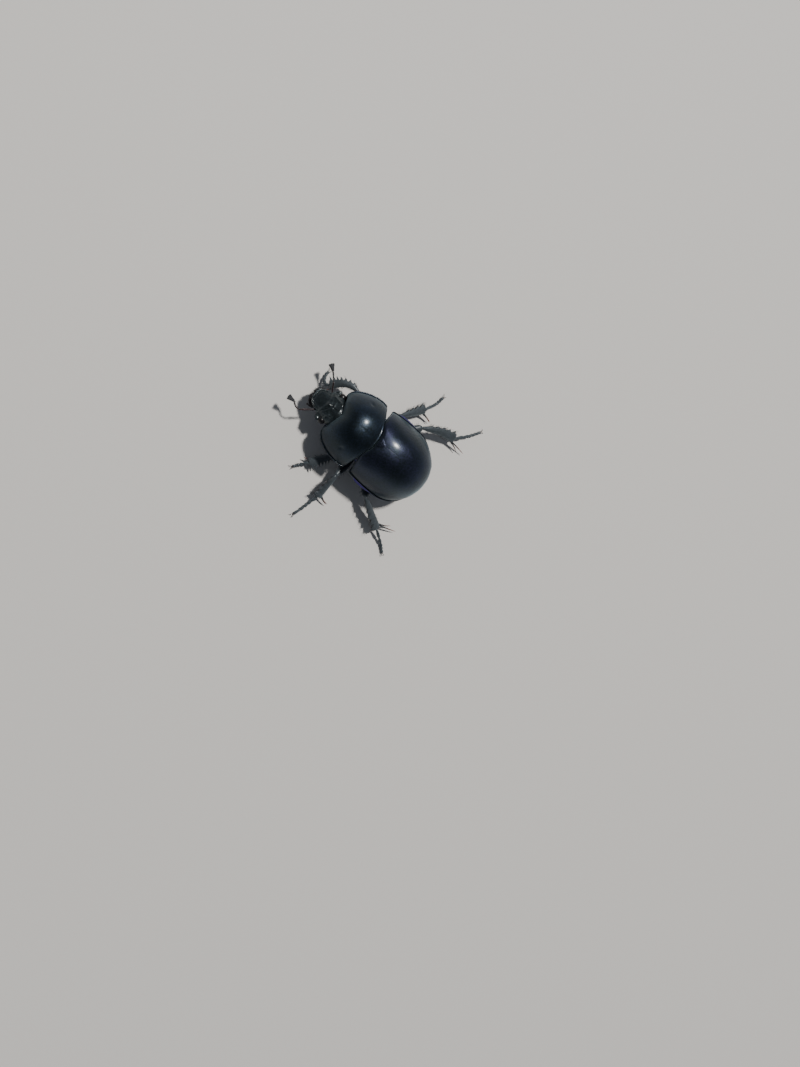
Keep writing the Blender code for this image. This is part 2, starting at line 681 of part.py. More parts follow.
def build_mouthparts():
    """Labrum, jaws and palps at the front of the head, under the clypeus."""
    top = []
    bottom = []
    for i in range(4):
        y = LABRUM_AT - LABRUM_LENGTH * i / 3
        half = LABRUM_HALF_WIDTH * superellipse(0.8 * i / 3, 2.5)
        row = [Vector((half * u, y + 0.06 * u * u, LABRUM_HEIGHT)) for u in (-1, -0.5, 0, 0.5, 1)]
        top.append(row)
        bottom.append([point - Vector((0, 0, LABRUM_THICKNESS)) for point in row])
    slab("labrum", top, bottom, "shell")
    for side_name, side in SIDES.items():
        rings = []
        for i in range(6):
            t = i / 5
            angle = math.radians(-10 + 95 * t)
            reach = MANDIBLE_REACH * math.cos(angle)
            centre = Vector((side * (0.12 + reach), MANDIBLE_AT - math.sin(angle),
                             MANDIBLE_HEIGHT))
            outward = Vector((side * math.cos(angle), -math.sin(angle), 0))
            width = MANDIBLE_WIDTH * (1.0 - 0.7 * t)
            rings.append(ring_at(centre, outward, Vector((0, 0, 1)), width, 0.2 - 0.08 * t, count=6))
        loft("mandible_" + side_name, rings, "shell")
        for palp, points in PALPS.items():
            build_feeler("%s_%s" % (palp, side_name), [(side * x, y, z) for x, y, z in points])


def build_feeler(name, points):
    """A tube through its points, from a curve with filled ends."""
    curve = bpy.data.curves.new(name, "CURVE")
    curve.dimensions = "3D"
    curve.bevel_depth = FEELER_RADIUS * MM
    curve.bevel_resolution = 2
    curve.use_fill_caps = True
    spline = curve.splines.new("POLY")
    spline.points.add(len(points) - 1)
    for slot, point in zip(spline.points, points):
        slot.co = (*(Vector(point) * MM), 1.0)
    guide = bpy.data.objects.new(name + "_guide", curve)
    bpy.context.scene.collection.objects.link(guide)
    evaluated = guide.evaluated_get(bpy.context.evaluated_depsgraph_get())
    bm = bmesh.new()
    bm.from_mesh(bpy.data.meshes.new_from_object(evaluated))
    bpy.data.objects.remove(guide, do_unlink=True)
    bmesh.ops.remove_doubles(bm, verts=bm.verts, dist=0.001 * MM)
    bmesh.ops.scale(bm, vec=(1 / MM, 1 / MM, 1 / MM), verts=bm.verts)
    return add_object(name, bm, "feeler")


def build_antennae():
    """Feelers: a thin stalk from beside the eye and a club of three leaves, held fanned."""
    for side_name in SIDES:
        stalk = build_feeler("antenna_" + side_name, STALKS[side_name])
        seat(PARTS.objects["head"], stalk)
        root, heading, spread = CLUBS[side_name]
        root = Vector(root)
        heading = Vector(heading).normalized()
        club = build_leaf("antenna_club_" + side_name, root, heading, 0)
        for number, turn in enumerate((-spread, spread)):
            join(club, build_leaf("leaf_%s_%d" % (side_name, number), root, heading, turn))


def build_leaf(name, root, heading, turn):
    """One leaf of the club: a flattened oval turned about the club's root."""
    bm = bmesh.new()
    bmesh.ops.create_uvsphere(bm, u_segments=8, v_segments=6, radius=1.0)
    bmesh.ops.scale(bm, vec=LEAF_HALF_SIZE, verts=bm.verts)
    bmesh.ops.translate(bm, vec=(0.0, 0.0, LEAF_HALF_SIZE[2]), verts=bm.verts)
    spread = heading.cross(Vector((0, 0, 1))).normalized()
    angle = math.radians(turn)
    axis = heading * math.cos(angle) + spread * math.sin(angle)
    thin = axis.cross(Vector((0, 0, 1))).normalized()
    broad = axis.cross(thin).normalized()
    for vert in bm.verts:
        x, y, z = vert.co
        vert.co = root + thin * x + broad * y + axis * z
    return add_object(name, bm, "feeler")


def centre_on_floor():
    """Move the beetle so that the middle of its footprint is the origin."""
    bpy.context.view_layer.update()
    graph = bpy.context.evaluated_depsgraph_get()
    points = []
    for obj in PARTS.objects:
        solid = obj.evaluated_get(graph)
        points += [obj.matrix_world @ vert.co for vert in solid.data.vertices]
    low = [min(point[axis] for point in points) for axis in range(3)]
    high = [max(point[axis] for point in points) for axis in range(3)]
    FRAME.location = (-(low[0] + high[0]) / 2, -(low[1] + high[1]) / 2, -low[2])


clear_scene()
PARTS = new_collection("dor_beetle")
CUTTERS = new_collection("dor_beetle_cutters")
FRAME = bpy.data.objects.new("dor_beetle_frame", None)
bpy.context.scene.collection.objects.link(FRAME)
build_elytra()
build_trunk()
build_pygidium()
build_front_thorax()
build_scutellum()
build_head()
build_legs()
build_mouthparts()
build_antennae()
centre_on_floor()
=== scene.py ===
import math
import random

import bmesh
import bpy
import numpy as np
from mathutils import Matrix, Vector, noise


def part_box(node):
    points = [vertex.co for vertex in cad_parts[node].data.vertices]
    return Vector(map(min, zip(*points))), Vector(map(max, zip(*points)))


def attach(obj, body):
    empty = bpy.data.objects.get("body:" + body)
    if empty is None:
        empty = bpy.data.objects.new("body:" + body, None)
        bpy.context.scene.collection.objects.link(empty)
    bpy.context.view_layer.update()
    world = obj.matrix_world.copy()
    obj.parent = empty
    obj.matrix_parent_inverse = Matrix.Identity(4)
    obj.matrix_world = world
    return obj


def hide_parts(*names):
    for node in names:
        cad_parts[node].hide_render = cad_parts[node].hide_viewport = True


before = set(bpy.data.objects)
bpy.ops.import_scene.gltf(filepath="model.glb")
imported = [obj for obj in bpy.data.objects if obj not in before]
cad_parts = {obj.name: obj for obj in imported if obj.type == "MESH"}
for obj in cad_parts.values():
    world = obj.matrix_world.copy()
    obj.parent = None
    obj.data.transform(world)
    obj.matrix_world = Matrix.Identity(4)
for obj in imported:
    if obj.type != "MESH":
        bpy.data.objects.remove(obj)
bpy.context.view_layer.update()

# ---------------------------------------------------------------------------------------------
# The beetle's own frame. Everything below is laid out in millimetres, with X to the beetle's
# left, Y to its tail and Z up from the floor. Zero is where the pronotum meets the wing cases,
# which the box of the left wing case gives.
# ---------------------------------------------------------------------------------------------
MM = 0.001
ELYTRA_LENGTH = 9.6
ELYTRA_SUTURE = 0.03
case_low, case_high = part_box("elytron_left")
ZERO = Vector((case_low.x / MM - ELYTRA_SUTURE, case_high.y / MM - ELYTRA_LENGTH, 0.0))


def placed(point):
    """A point of the beetle's frame, as metres in the shared frame."""
    return (Vector(point) + ZERO) * MM


# ---------------------------------------------------------------------------------------------
# Camera. It looks steeply down on the beetle from ahead and to its left, rolled so that the
# head points up and to the left.
# ---------------------------------------------------------------------------------------------
VIEW_AZIMUTH = math.radians(13.41)
VIEW_ELEVATION = math.radians(66.0)
VIEW_ROLL = math.radians(113.82)
VIEW_DISTANCE = 126.07
VIEW_ASIDE = Vector((3.97, -11.51))
VIEW_HEIGHT = 4.0

backward = Vector((math.sin(VIEW_AZIMUTH) * math.cos(VIEW_ELEVATION),
                   -math.cos(VIEW_AZIMUTH) * math.cos(VIEW_ELEVATION), math.sin(VIEW_ELEVATION)))
level = Vector((math.cos(VIEW_AZIMUTH), math.sin(VIEW_AZIMUTH), 0.0))
upright = backward.cross(level)
across = level * math.cos(VIEW_ROLL) + upright * math.sin(VIEW_ROLL)
upward = upright * math.cos(VIEW_ROLL) - level * math.sin(VIEW_ROLL)
eye_point = (Vector((0.0, 0.0, VIEW_HEIGHT)) + backward * VIEW_DISTANCE + across * VIEW_ASIDE.x
             + upward * VIEW_ASIDE.y)
camera_data = bpy.data.cameras.new("camera")
camera_data.lens = 35.0
camera_data.sensor_fit = "VERTICAL"
camera_data.sensor_height = 36.0
camera_data.clip_start = 0.005
camera = bpy.data.objects.new("camera", camera_data)
bpy.context.scene.collection.objects.link(camera)
turned = Matrix((across, upward, backward)).transposed()
camera.matrix_world = Matrix.Translation(placed(eye_point)) @ turned.to_4x4()
bpy.context.scene.camera = camera

# ---------------------------------------------------------------------------------------------
# Floor and studio light. A plain pale floor; one warm key light from the beetle's right, high
# up and fairly small, so that the shell shows a compact highlight; a pale sky fills the rest.
# ---------------------------------------------------------------------------------------------
FLOOR_HALF_WIDTH = 1.5
FLOOR_COLOUR = (0.56, 0.55, 0.53, 1.0)
KEY_DIRECTION = Vector((-0.44, -0.02, 0.9)).normalized()
KEY_DISTANCE = 1500.0
KEY_SIZE = 140.0
KEY_POWER = 28.5
KEY_COLOUR = (1.0, 0.965, 0.92)
SKY_COLOUR = (0.80, 0.87, 1.0, 1.0)
SKY_OVERHEAD = 0.13
SKY_HORIZON = 0.62
SKY_FALLOFF = 3.2
SKY_SUNWARD = 0.10


def add_node(tree, kind, values=None, **settings):
    """A shader or geometry node with its settings; a value that is a socket becomes a link."""
    made = tree.nodes.new(kind)
    for name, setting in settings.items():
        setattr(made, name, setting)
    for socket, value in (values or {}).items():
        if isinstance(value, bpy.types.NodeSocket):
            tree.links.new(value, made.inputs[socket])
        else:
            made.inputs[socket].default_value = value
    return made


def new_material(name, looks=None):
    """A node material with its shader set, and the surface position in millimetres."""
    material = bpy.data.materials.new(name)
    material.use_nodes = True
    tree = material.node_tree
    tree.nodes.clear()
    shader = add_node(tree, "ShaderNodeBsdfPrincipled", looks)
    add_node(tree, "ShaderNodeOutputMaterial", {"Surface": shader.outputs["BSDF"]})
    coordinates = add_node(tree, "ShaderNodeTexCoord")
    scaled = add_node(tree, "ShaderNodeVectorMath", {0: coordinates.outputs["Object"],
                                                     "Scale": 1.0 / MM}, operation="SCALE")
    return material, tree, shader, scaled.outputs["Vector"]


def add_relief(tree, shader, height, strength, depth, socket="Normal", invert=False):
    """Bump the surface of a shader by a pattern of heights; the depth is in millimetres."""
    bump = add_node(tree, "ShaderNodeBump", {"Height": height, "Strength": strength,
                                             "Distance": depth * MM}, invert=invert)
    tree.links.new(bump.outputs["Normal"], shader.inputs[socket])


def add_mesh_object(name, bm, material):
    """Link a finished bmesh, in metres, as an object of its own at the origin."""
    mesh = bpy.data.meshes.new(name)
    bm.to_mesh(mesh)
    bm.free()
    mesh.materials.append(material)
    obj = bpy.data.objects.new(name, mesh)
    bpy.context.scene.collection.objects.link(obj)
    return obj


floor_material, tree, shader, position = new_material(
    "studio_floor", {"Base Color": FLOOR_COLOUR, "Roughness": 0.65})
grain = add_node(tree, "ShaderNodeTexNoise", {"Vector": position, "Scale": 0.8, "Detail": 4.0})
add_relief(tree, shader, grain.outputs["Fac"], 0.25, 0.05)
bm = bmesh.new()
bmesh.ops.create_grid(bm, x_segments=2, y_segments=2, size=FLOOR_HALF_WIDTH)
floor = add_mesh_object("studio_floor", bm, floor_material)

key_data = bpy.data.lights.new("key", "AREA")
key_data.shape = "DISK"
key_data.size = KEY_SIZE * MM
key_data.energy = KEY_POWER
key_data.color = KEY_COLOUR
key = bpy.data.objects.new("key", key_data)
bpy.context.scene.collection.objects.link(key)
key_place = placed(Vector((0.0, 1.0, VIEW_HEIGHT)) + KEY_DIRECTION * KEY_DISTANCE)
key.matrix_world = (Matrix.Translation(key_place)
                    @ KEY_DIRECTION.to_track_quat("Z", "Y").to_matrix().to_4x4())

world = bpy.data.worlds.new("studio")
world.use_nodes = True
tree = world.node_tree
sky = tree.nodes["Background"]
sky.inputs["Color"].default_value = SKY_COLOUR
direction = add_node(tree, "ShaderNodeTexCoord").outputs["Generated"]
height = add_node(tree, "ShaderNodeSeparateXYZ", {"Vector": direction})
depth = add_node(tree, "ShaderNodeMath", {0: 1.0, 1: height.outputs["Z"]}, operation="SUBTRACT")
low = add_node(tree, "ShaderNodeMath", {0: depth.outputs["Value"], 1: SKY_FALLOFF},
               operation="POWER")
base = add_node(tree, "ShaderNodeMath", {0: low.outputs["Value"], 1: SKY_HORIZON,
                                         2: SKY_OVERHEAD}, operation="MULTIPLY_ADD")
sunward = add_node(tree, "ShaderNodeMath", {0: height.outputs["X"], 1: -SKY_SUNWARD,
                                            2: base.outputs["Value"]}, operation="MULTIPLY_ADD")
tree.links.new(sunward.outputs["Value"], sky.inputs["Strength"])
bpy.context.scene.world = world

# ---------------------------------------------------------------------------------------------
# Wing cases. Two hard shells of glossy blue-black chitin, domed and almost smooth, that meet
# along the suture. Each has a fine raised bead inside its outer edge, a narrow gutter above it,
# and below it the violet epipleuron that folds under the body.
# ---------------------------------------------------------------------------------------------
ELYTRA_HALF_WIDTH = 4.92
ELYTRA_WIDEST_AT = 4.5
ELYTRA_BASE_HALF_WIDTH = 4.5
ELYTRA_BASE_HEIGHT = 7.8
ELYTRA_TOP = 8.6
ELYTRA_TOP_AT = 3.3
MARGIN_SHOULDER = 4.4
MARGIN_MIDDLE = 3.8
MARGIN_TAIL = 2.8
CREST_POWER = 2.1
DOME_POWER = 2.5
DOME_ROUNDNESS = 0.8
OUTLINE_POWER = 2.2
SHOULDER_ROUNDING = 0.4
BASE_ROUNDING = 0.3
CASE_THICKNESS = 0.34
BEAD_RADIUS = 0.055
GUTTER_WIDTH = 0.05
GUTTER_DEPTH = 0.01
BEAD_TURNS = (150, 115, 80, 45, 10, -25)
SKIRT = ((0.2, 0.3), (0.45, 0.66), (0.75, 0.92), (1.0, 1.0))
TUCK = (0.12, 0.4, 0.7, 1.0)
# How violet the points of the rim are, from the gutter to the tucked-in edge
RIM_TINTS = [0.0] * 5 + [0.5, 1.0, 1.0, 0.7, 0.3] + [0.0] * 5
SEAM_WAVE = 0.5
SEAM_WAVE_AT = 0.57
SEAM_WAVE_WIDTH = 0.26
SUTURE_GAP = 0.0002
SUTURE_SPANS = [0.0, 0.002, 0.005, 0.010, 0.016, 0.024, 0.033, 0.044, 0.056]
SCUTELLUM_LENGTH = 0.97
SCUTELLUM_HALF_WIDTH = 0.72
CASE_ROWS = 130
CASE_COLUMNS = 64
OUT_AND_UP = Vector((1.0, 0.0, 1.0))
SIDES = {"left": 1, "right": -1}
# The gloss and the fine grey bloom that all the shells of the beetle have
GLOSS_TINT = (0.30, 0.36, 0.40, 1.0)
BLOOM = 0.3
BLOOM_ROUGHNESS = 0.45
BLOOM_TINT = (0.42, 0.60, 0.68, 1.0)


def superellipse(t, power):
    """Height from 1 at t = 0 to 0 at t = 1 of a rounded arch."""
    t = min(abs(t), 1.0)
    return (1.0 - t ** power) ** (1.0 / power)


def dome_arch(u):
    """Height across the back, from 1 on the middle line to 0 at the margin."""
    return (1.0 - min(abs(u), 1.0) ** DOME_POWER) ** DOME_ROUNDNESS


def bump_at(value, centre, width):
    """A smooth hill of height 1 at the centre."""
    return math.exp(-((value - centre) / width) ** 2)


def smoothstep(low, high, value):
    """A smooth rise from 0 below the low value to 1 above the high one."""
    t = min(1.0, max(0.0, (value - low) / (high - low)))
    return t * t * (3.0 - 2.0 * t)


def elytra_half_width(y):
    if y < ELYTRA_WIDEST_AT:
        rise = math.sqrt(max(0.0, 1.0 - (1.0 - y / ELYTRA_WIDEST_AT) ** 2))
        return ELYTRA_BASE_HALF_WIDTH + (ELYTRA_HALF_WIDTH - ELYTRA_BASE_HALF_WIDTH) * rise
    t = (y - ELYTRA_WIDEST_AT) / (ELYTRA_LENGTH - ELYTRA_WIDEST_AT)
    return ELYTRA_HALF_WIDTH * superellipse(t, OUTLINE_POWER)


def elytra_crest(y):
    if y < ELYTRA_TOP_AT:
        drop = (1.0 - y / ELYTRA_TOP_AT) ** 2
        return ELYTRA_TOP - (ELYTRA_TOP - ELYTRA_BASE_HEIGHT) * drop
    t = (y - ELYTRA_TOP_AT) / (ELYTRA_LENGTH - ELYTRA_TOP_AT)
    return MARGIN_TAIL + (ELYTRA_TOP - MARGIN_TAIL) * superellipse(t, CREST_POWER)


def scutellum_half_width(y):
    return SCUTELLUM_HALF_WIDTH * superellipse(y / SCUTELLUM_LENGTH, 1.5)


def base_wave(u):
    """How far the seam between pronotum and wing cases waves forward beside the middle."""
    return SEAM_WAVE * bump_at(abs(u), SEAM_WAVE_AT, SEAM_WAVE_WIDTH)


def elytra_margin(y):
    t = y / ELYTRA_LENGTH
    middle = MARGIN_SHOULDER + (MARGIN_MIDDLE - MARGIN_SHOULDER) * min(1.0, 2.0 * t)
    return middle + (MARGIN_TAIL - MARGIN_MIDDLE) * max(0.0, 2.0 * t - 1.0) ** 1.5


def epipleuron_width(y):
    """How far the strip below the bead shows from above; it is broadest behind the shoulder."""
    return 0.015 + 0.21 * smoothstep(1.0, 2.1, y) * (1.0 - smoothstep(2.8, 5.2, y))


def surface_normals(grid):
    """Unit normals of a grid of surface points, rows by columns."""
    along = np.gradient(grid, axis=0)
    over = np.gradient(grid, axis=1)
    normals = np.cross(along, over)
    length = np.linalg.norm(normals, axis=2, keepdims=True)
    return normals / np.maximum(length, 1e-9)


def turned_to(normal, way):
    """A surface normal, turned round if it points against the way."""
    outward = Vector(normal)
    if outward.dot(way) < 0:
        outward.negate()
    return outward


def bead_points(x, y, z, radius, turns):
    """Points round the outside of a bead that runs along an edge."""
    return [Vector((x + radius * math.cos(math.radians(turn)), y,
                    z + radius * math.sin(math.radians(turn)))) for turn in turns]


def to_side(points, side):
    """The same points on the left side, 1, or on the right side, -1."""
    return [Vector((side * x, y, z)) for x, y, z in points]


def add_loft(bm, rings, walls=None):
    """Close a run of equal rings into the mesh; the wall polygons, or flat caps, end it."""
    loops = [[bm.verts.new(placed(point)) for point in ring] for ring in rings]
    count = len(rings[0])
    for first, second in zip(loops, loops[1:]):
        for k in range(count):
            n = (k + 1) % count
            bm.faces.new((first[k], first[n], second[n], second[k]))
    for loop in (loops[0], loops[-1]):
        for polygon in walls or [range(count)]:
            bm.faces.new([loop[k] for k in polygon])


def finish_piece(name, bm, material, slot_name, *replaced, sharp=50.0, tints=None):
    """Link a piece made of closed lofts and hide the solids that it replaces.

    The tints, one for each point, are kept for the material as an attribute."""
    bmesh.ops.recalc_face_normals(bm, faces=bm.faces)
    obj = add_mesh_object(name, bm, material)
    obj.data.shade_smooth()
    obj.data.set_sharp_from_angle(angle=math.radians(sharp))
    if tints:
        tint = obj.data.attributes.new("tint", "FLOAT", "POINT")
        tint.data.foreach_set("value", tints)
    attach(obj, "root")
    if replaced:
        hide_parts(*replaced)
    return obj


def ring_skin(name, rings, material, slot_name, walls=None, sharp=48.0, tints=None):
    """A piece that is one closed loft."""
    bm = bmesh.new()
    add_loft(bm, rings, walls)
    return finish_piece(name, bm, material, slot_name, sharp=sharp, tints=tints)


def shell_walls(outer_count, rim_count):
    """End polygons for rings that run over an outer arc, round a rim and back inside."""
    total = 2 * outer_count + rim_count
    walls = [[k, k + 1, total - 2 - k, total - 1 - k] for k in range(outer_count - 1)]
    walls.append(list(range(outer_count - 1, outer_count + rim_count + 1)))
    return walls


def chitin(name, deep, sheen, roughness, metallic, coat_roughness=0.19, pits=5.0, pit_depth=0.4,
           grain=9.0, grain_depth=0.9, relief=0.020, coat_relief=0.08, coat=0.3, trim=None):
    """Glossy shell: a dark metallic layer with fine pits and wrinkles under a clear gloss.

    The trim is the colour where the tint attribute of the mesh is 1."""
    material, tree, shader, position = new_material(name, {
        "Metallic": metallic, "Specular Tint": GLOSS_TINT, "Coat Weight": coat,
        "Coat Roughness": coat_roughness, "Coat IOR": 1.5, "Sheen Weight": BLOOM,
        "Sheen Roughness": BLOOM_ROUGHNESS, "Sheen Tint": BLOOM_TINT})
    broad = add_node(tree, "ShaderNodeTexNoise", {"Vector": position, "Scale": 0.35, "Detail": 3.0})
    flecks = add_node(tree, "ShaderNodeTexNoise", {"Vector": position, "Scale": 5.5, "Detail": 2.0})
    blend = add_node(tree, "ShaderNodeMath", {0: broad.outputs["Fac"], 1: flecks.outputs["Fac"]},
                     operation="MULTIPLY")
    spread = add_node(tree, "ShaderNodeMapRange", {"Value": blend.outputs["Value"],
                                                   "From Min": 0.15, "From Max": 0.4})
    colour = add_node(tree, "ShaderNodeMix", {0: spread.outputs["Result"], 6: (*deep, 1.0),
                                              7: (*sheen, 1.0)}, data_type="RGBA")
    surface = colour.outputs[2]
    if trim:
        tint = add_node(tree, "ShaderNodeAttribute", attribute_name="tint")
        trimmed = add_node(tree, "ShaderNodeMix", {0: tint.outputs["Fac"], 6: surface,
                                                   7: (*trim, 1.0)}, data_type="RGBA")
        surface = trimmed.outputs[2]
    tree.links.new(surface, shader.inputs["Base Color"])
    gloss = add_node(tree, "ShaderNodeMapRange", {
        "Value": flecks.outputs["Fac"], "From Min": 0.3, "From Max": 0.7,
        "To Min": roughness * 0.85, "To Max": roughness * 1.2})
    tree.links.new(gloss.outputs["Result"], shader.inputs["Roughness"])
    cells = add_node(tree, "ShaderNodeTexVoronoi", {"Vector": position, "Scale": pits})
    chance = add_node(tree, "ShaderNodeSeparateColor", {"Color": cells.outputs["Color"]})
    size = add_node(tree, "ShaderNodeMapRange", {
        "Value": chance.outputs["Red"], "From Min": 0.35, "To Min": 0.02, "To Max": 0.24})
    hollows = add_node(tree, "ShaderNodeMapRange", {
        "Value": cells.outputs["Distance"], "From Max": size.outputs["Result"],
        "To Max": pit_depth}, interpolation_type="SMOOTHSTEP")
    wrinkles = add_node(tree, "ShaderNodeTexNoise", {"Vector": position, "Scale": grain,
                                                     "Detail": 3.0, "Distortion": 0.6})
    height = add_node(tree, "ShaderNodeMath", {0: wrinkles.outputs["Fac"], 1: grain_depth,
                                               2: hollows.outputs["Result"]},
                      operation="MULTIPLY_ADD")
    for socket, strength in (("Normal", 1.0), ("Coat Normal", coat_relief)):
        add_relief(tree, shader, height.outputs["Value"], strength, relief, socket)
    return material


def case_relief(x, y):
    """The fine groove of the suture, the shoulder hump and a hump before the tail."""
    height = -0.004 * math.exp(-x / 0.03)
    height += 0.05 * bump_at(x, 3.3, 0.55) * bump_at(y, 0.9, 0.6)
    height += 0.04 * bump_at(x, 2.3, 0.6) * bump_at(y, 8.3, 0.7)
    return height


def case_dome(rows, spans):
    """The outer dome of a wing case without its relief, rows by columns."""
    dome = np.zeros((len(rows), len(spans), 3))
    for i, y in enumerate(rows):
        inset = BEAD_RADIUS * 2 + GUTTER_WIDTH * min(1.0, elytra_half_width(y) / 2.0)
        edge = elytra_half_width(y) - inset
        foot = elytra_margin(y) + BEAD_RADIUS
        crest = max(foot + 0.1, elytra_crest(y))
        start = SUTURE_GAP
        if y < SCUTELLUM_LENGTH:
            start += scutellum_half_width(y)
        for j, u in enumerate(spans):
            corner = max(0.0, (u - 0.72) / 0.28) ** 2.2 * max(0.0, 1.0 - y / 2.5)
            x = start + (edge - start) * u
            wave = base_wave(x / edge) * max(0.0, 1.0 - y / 2.0) ** 2
            dome[i, j] = (x, y + SHOULDER_ROUNDING * corner - wave,
                          foot + (crest - foot) * dome_arch(x / edge))
    return dome


def elytron_rings(side):
    """Outer dome, bead, epipleuron and inner dome of one wing case, from its base to the tail."""
    rows = [BASE_ROUNDING * (1.0 - math.cos(math.pi / 2 * k / 8)) for k in range(8)]
    reach = ELYTRA_LENGTH - BASE_ROUNDING
    rows += [BASE_ROUNDING + reach * math.sin(0.985 * math.pi / 2 * k / CASE_ROWS)
             for k in range(CASE_ROWS + 1)]
    begin = math.asin(0.07)
    spans = SUTURE_SPANS + [math.sin(begin + (math.pi / 2 - begin) * k / CASE_COLUMNS)
                            for k in range(CASE_COLUMNS + 1)]
    dome = case_dome(rows, spans)
    normals = surface_normals(dome)
    rings = []
    for i, y in enumerate(rows):
        turned_down = max(0.0, BASE_ROUNDING - y)
        fall = BASE_ROUNDING - math.sqrt(BASE_ROUNDING ** 2 - turned_down ** 2)
        points = [Vector(point) for point in dome[i]]
        outwards = [turned_to(normal, OUT_AND_UP) for normal in normals[i]]
        outer = [point + outward * case_relief(point.x, y) - outward * fall
                 for point, outward in zip(points, outwards)]
        strip = epipleuron_width(y)
        half = elytra_half_width(y) + strip - fall * 0.9
        margin = elytra_margin(y)
        bead = half - strip - BEAD_RADIUS
        shift = outer[-1].y
        gutter = (outer[-1].x + bead - BEAD_RADIUS) / 2
        rim = [Vector((gutter, shift, margin + BEAD_RADIUS * 0.55 - GUTTER_DEPTH))]
        rim += bead_points(bead, shift, margin, BEAD_RADIUS, BEAD_TURNS)
        skirt = 0.16 + 0.5 * strip
        rim += [Vector((half - (strip + 0.01) * (1.0 - out), shift, margin - 0.06 - skirt * t))
                for t, out in SKIRT]
        under = margin - 0.08 - skirt
        tuck = min(0.75, half * 0.5)
        rim += [Vector((half - tuck * t, shift, under + 0.1 * t)) for t in TUCK]
        inner = []
        for point, outward in zip(points[::-1], outwards[::-1]):
            inside = point - outward * CASE_THICKNESS - outward * fall * 0.2
            inner.append(Vector((max(outer[0].x, min(inside.x, half - tuck - 0.01)), point.y,
                                 max(inside.z, under + 0.1))))
        rings.append(to_side(outer + rim + inner, side))
    across_tints = [0.0] * len(spans) + RIM_TINTS + [0.0] * len(spans)
    tints = [smoothstep(0.9, 1.5, y) * tint for y in rows for tint in across_tints]
    return rings, shell_walls(len(spans), len(rim)), tints


case_material = chitin("wing_case_chitin", deep=(0.007, 0.011, 0.014),
                       sheen=(0.019, 0.020, 0.046), roughness=0.34, metallic=0.8,
                       trim=(0.05, 0.025, 0.19))
for side_name, side in SIDES.items():
    rings, walls, tints = elytron_rings(side)
    case = ring_skin("elytron_%s_shell" % side_name, rings, case_material, "wing_case", walls,
                     tints=tints)
    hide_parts("elytron_" + side_name)

# ---------------------------------------------------------------------------------------------
# Scutellum. The small polished triangle that fills the corner between the bases of the wing
# cases, a little raised, with a few fine pits.
# ---------------------------------------------------------------------------------------------
scutellum_material = chitin("scutellum_chitin", deep=(0.010, 0.013, 0.020),
                            sheen=(0.022, 0.025, 0.05), roughness=0.3, metallic=0.85, pits=6.5)
SCUTELLUM_THICKNESS = 0.3
UP = Vector((0.0, 0.0, 1.0))


def side_to_side(count):
    """Places from -1 to 1 across the body, closer together towards the ends."""
    return [math.sin(math.pi / 2 * k / count) for k in range(-count, count + 1)]


rings = []
for step in range(25):
    y = 0.03 + (SCUTELLUM_LENGTH - 0.05) * step / 24
    half = scutellum_half_width(y)
    edge_drop = 0.10 * (1.0 - smoothstep(0.0, 0.25, y))
    top = [Vector((half * u, y, elytra_crest(y) + 0.05 - 0.06 * u * u - 0.02 * u ** 8 - edge_drop))
           for u in side_to_side(9)]
    under = [point - UP * SCUTELLUM_THICKNESS for point in reversed(top)]
    rings.append(top + under)
scutellum = ring_skin("scutellum_plate", rings, scutellum_material, "wing_case")
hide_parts("scutellum")

# ---------------------------------------------------------------------------------------------
# Pronotum. One broad polished shield over the front of the body, finely pitted at its sides,
# with a raised bead all round, a faint groove along the middle and a small hollow on each side.
# ---------------------------------------------------------------------------------------------
PRONOTUM_LENGTH = 5.25
PRONOTUM_START = 0.05
PRONOTUM_HALF_WIDTH = 4.75
PRONOTUM_WIDEST_AT = -1.3
PRONOTUM_HIND_HALF_WIDTH = 4.5
PRONOTUM_FRONT_HALF_WIDTH = 2.65
PRONOTUM_HIND_HEIGHT = 7.7
PRONOTUM_TOP = 7.9
PRONOTUM_TOP_AT = -2.0
PRONOTUM_FRONT_HEIGHT = 5.4
PRONOTUM_MARGIN_HIND = 4.4
PRONOTUM_MARGIN_FRONT = 3.8
PRONOTUM_CORNER_PULL = 0.42
NECK_BAY = 0.35
SHIELD_THICKNESS = 0.3
SHIELD_BEAD = 0.07
SHIELD_GUTTER = 0.06
SHIELD_BEAD_TURNS = (150, 115, 80, 45, 10, -25, -60)
SHIELD_COLUMNS = 70
FAR = 9.0
FRONT_ARC_RADIUS = 2.9


def pronotum_half_width(y):
    if y > PRONOTUM_WIDEST_AT:
        t = (y - PRONOTUM_WIDEST_AT) / -PRONOTUM_WIDEST_AT
        return PRONOTUM_HIND_HALF_WIDTH + (
            PRONOTUM_HALF_WIDTH - PRONOTUM_HIND_HALF_WIDTH) * math.sqrt(max(0.0, 1.0 - t * t))
    t = (PRONOTUM_WIDEST_AT - y) / (PRONOTUM_WIDEST_AT + PRONOTUM_LENGTH)
    return PRONOTUM_FRONT_HALF_WIDTH + (
        PRONOTUM_HALF_WIDTH - PRONOTUM_FRONT_HALF_WIDTH) * superellipse(t, 1.8)


def pronotum_margin(y):
    forward = -y / PRONOTUM_LENGTH
    return PRONOTUM_MARGIN_HIND + (PRONOTUM_MARGIN_FRONT - PRONOTUM_MARGIN_HIND) * forward


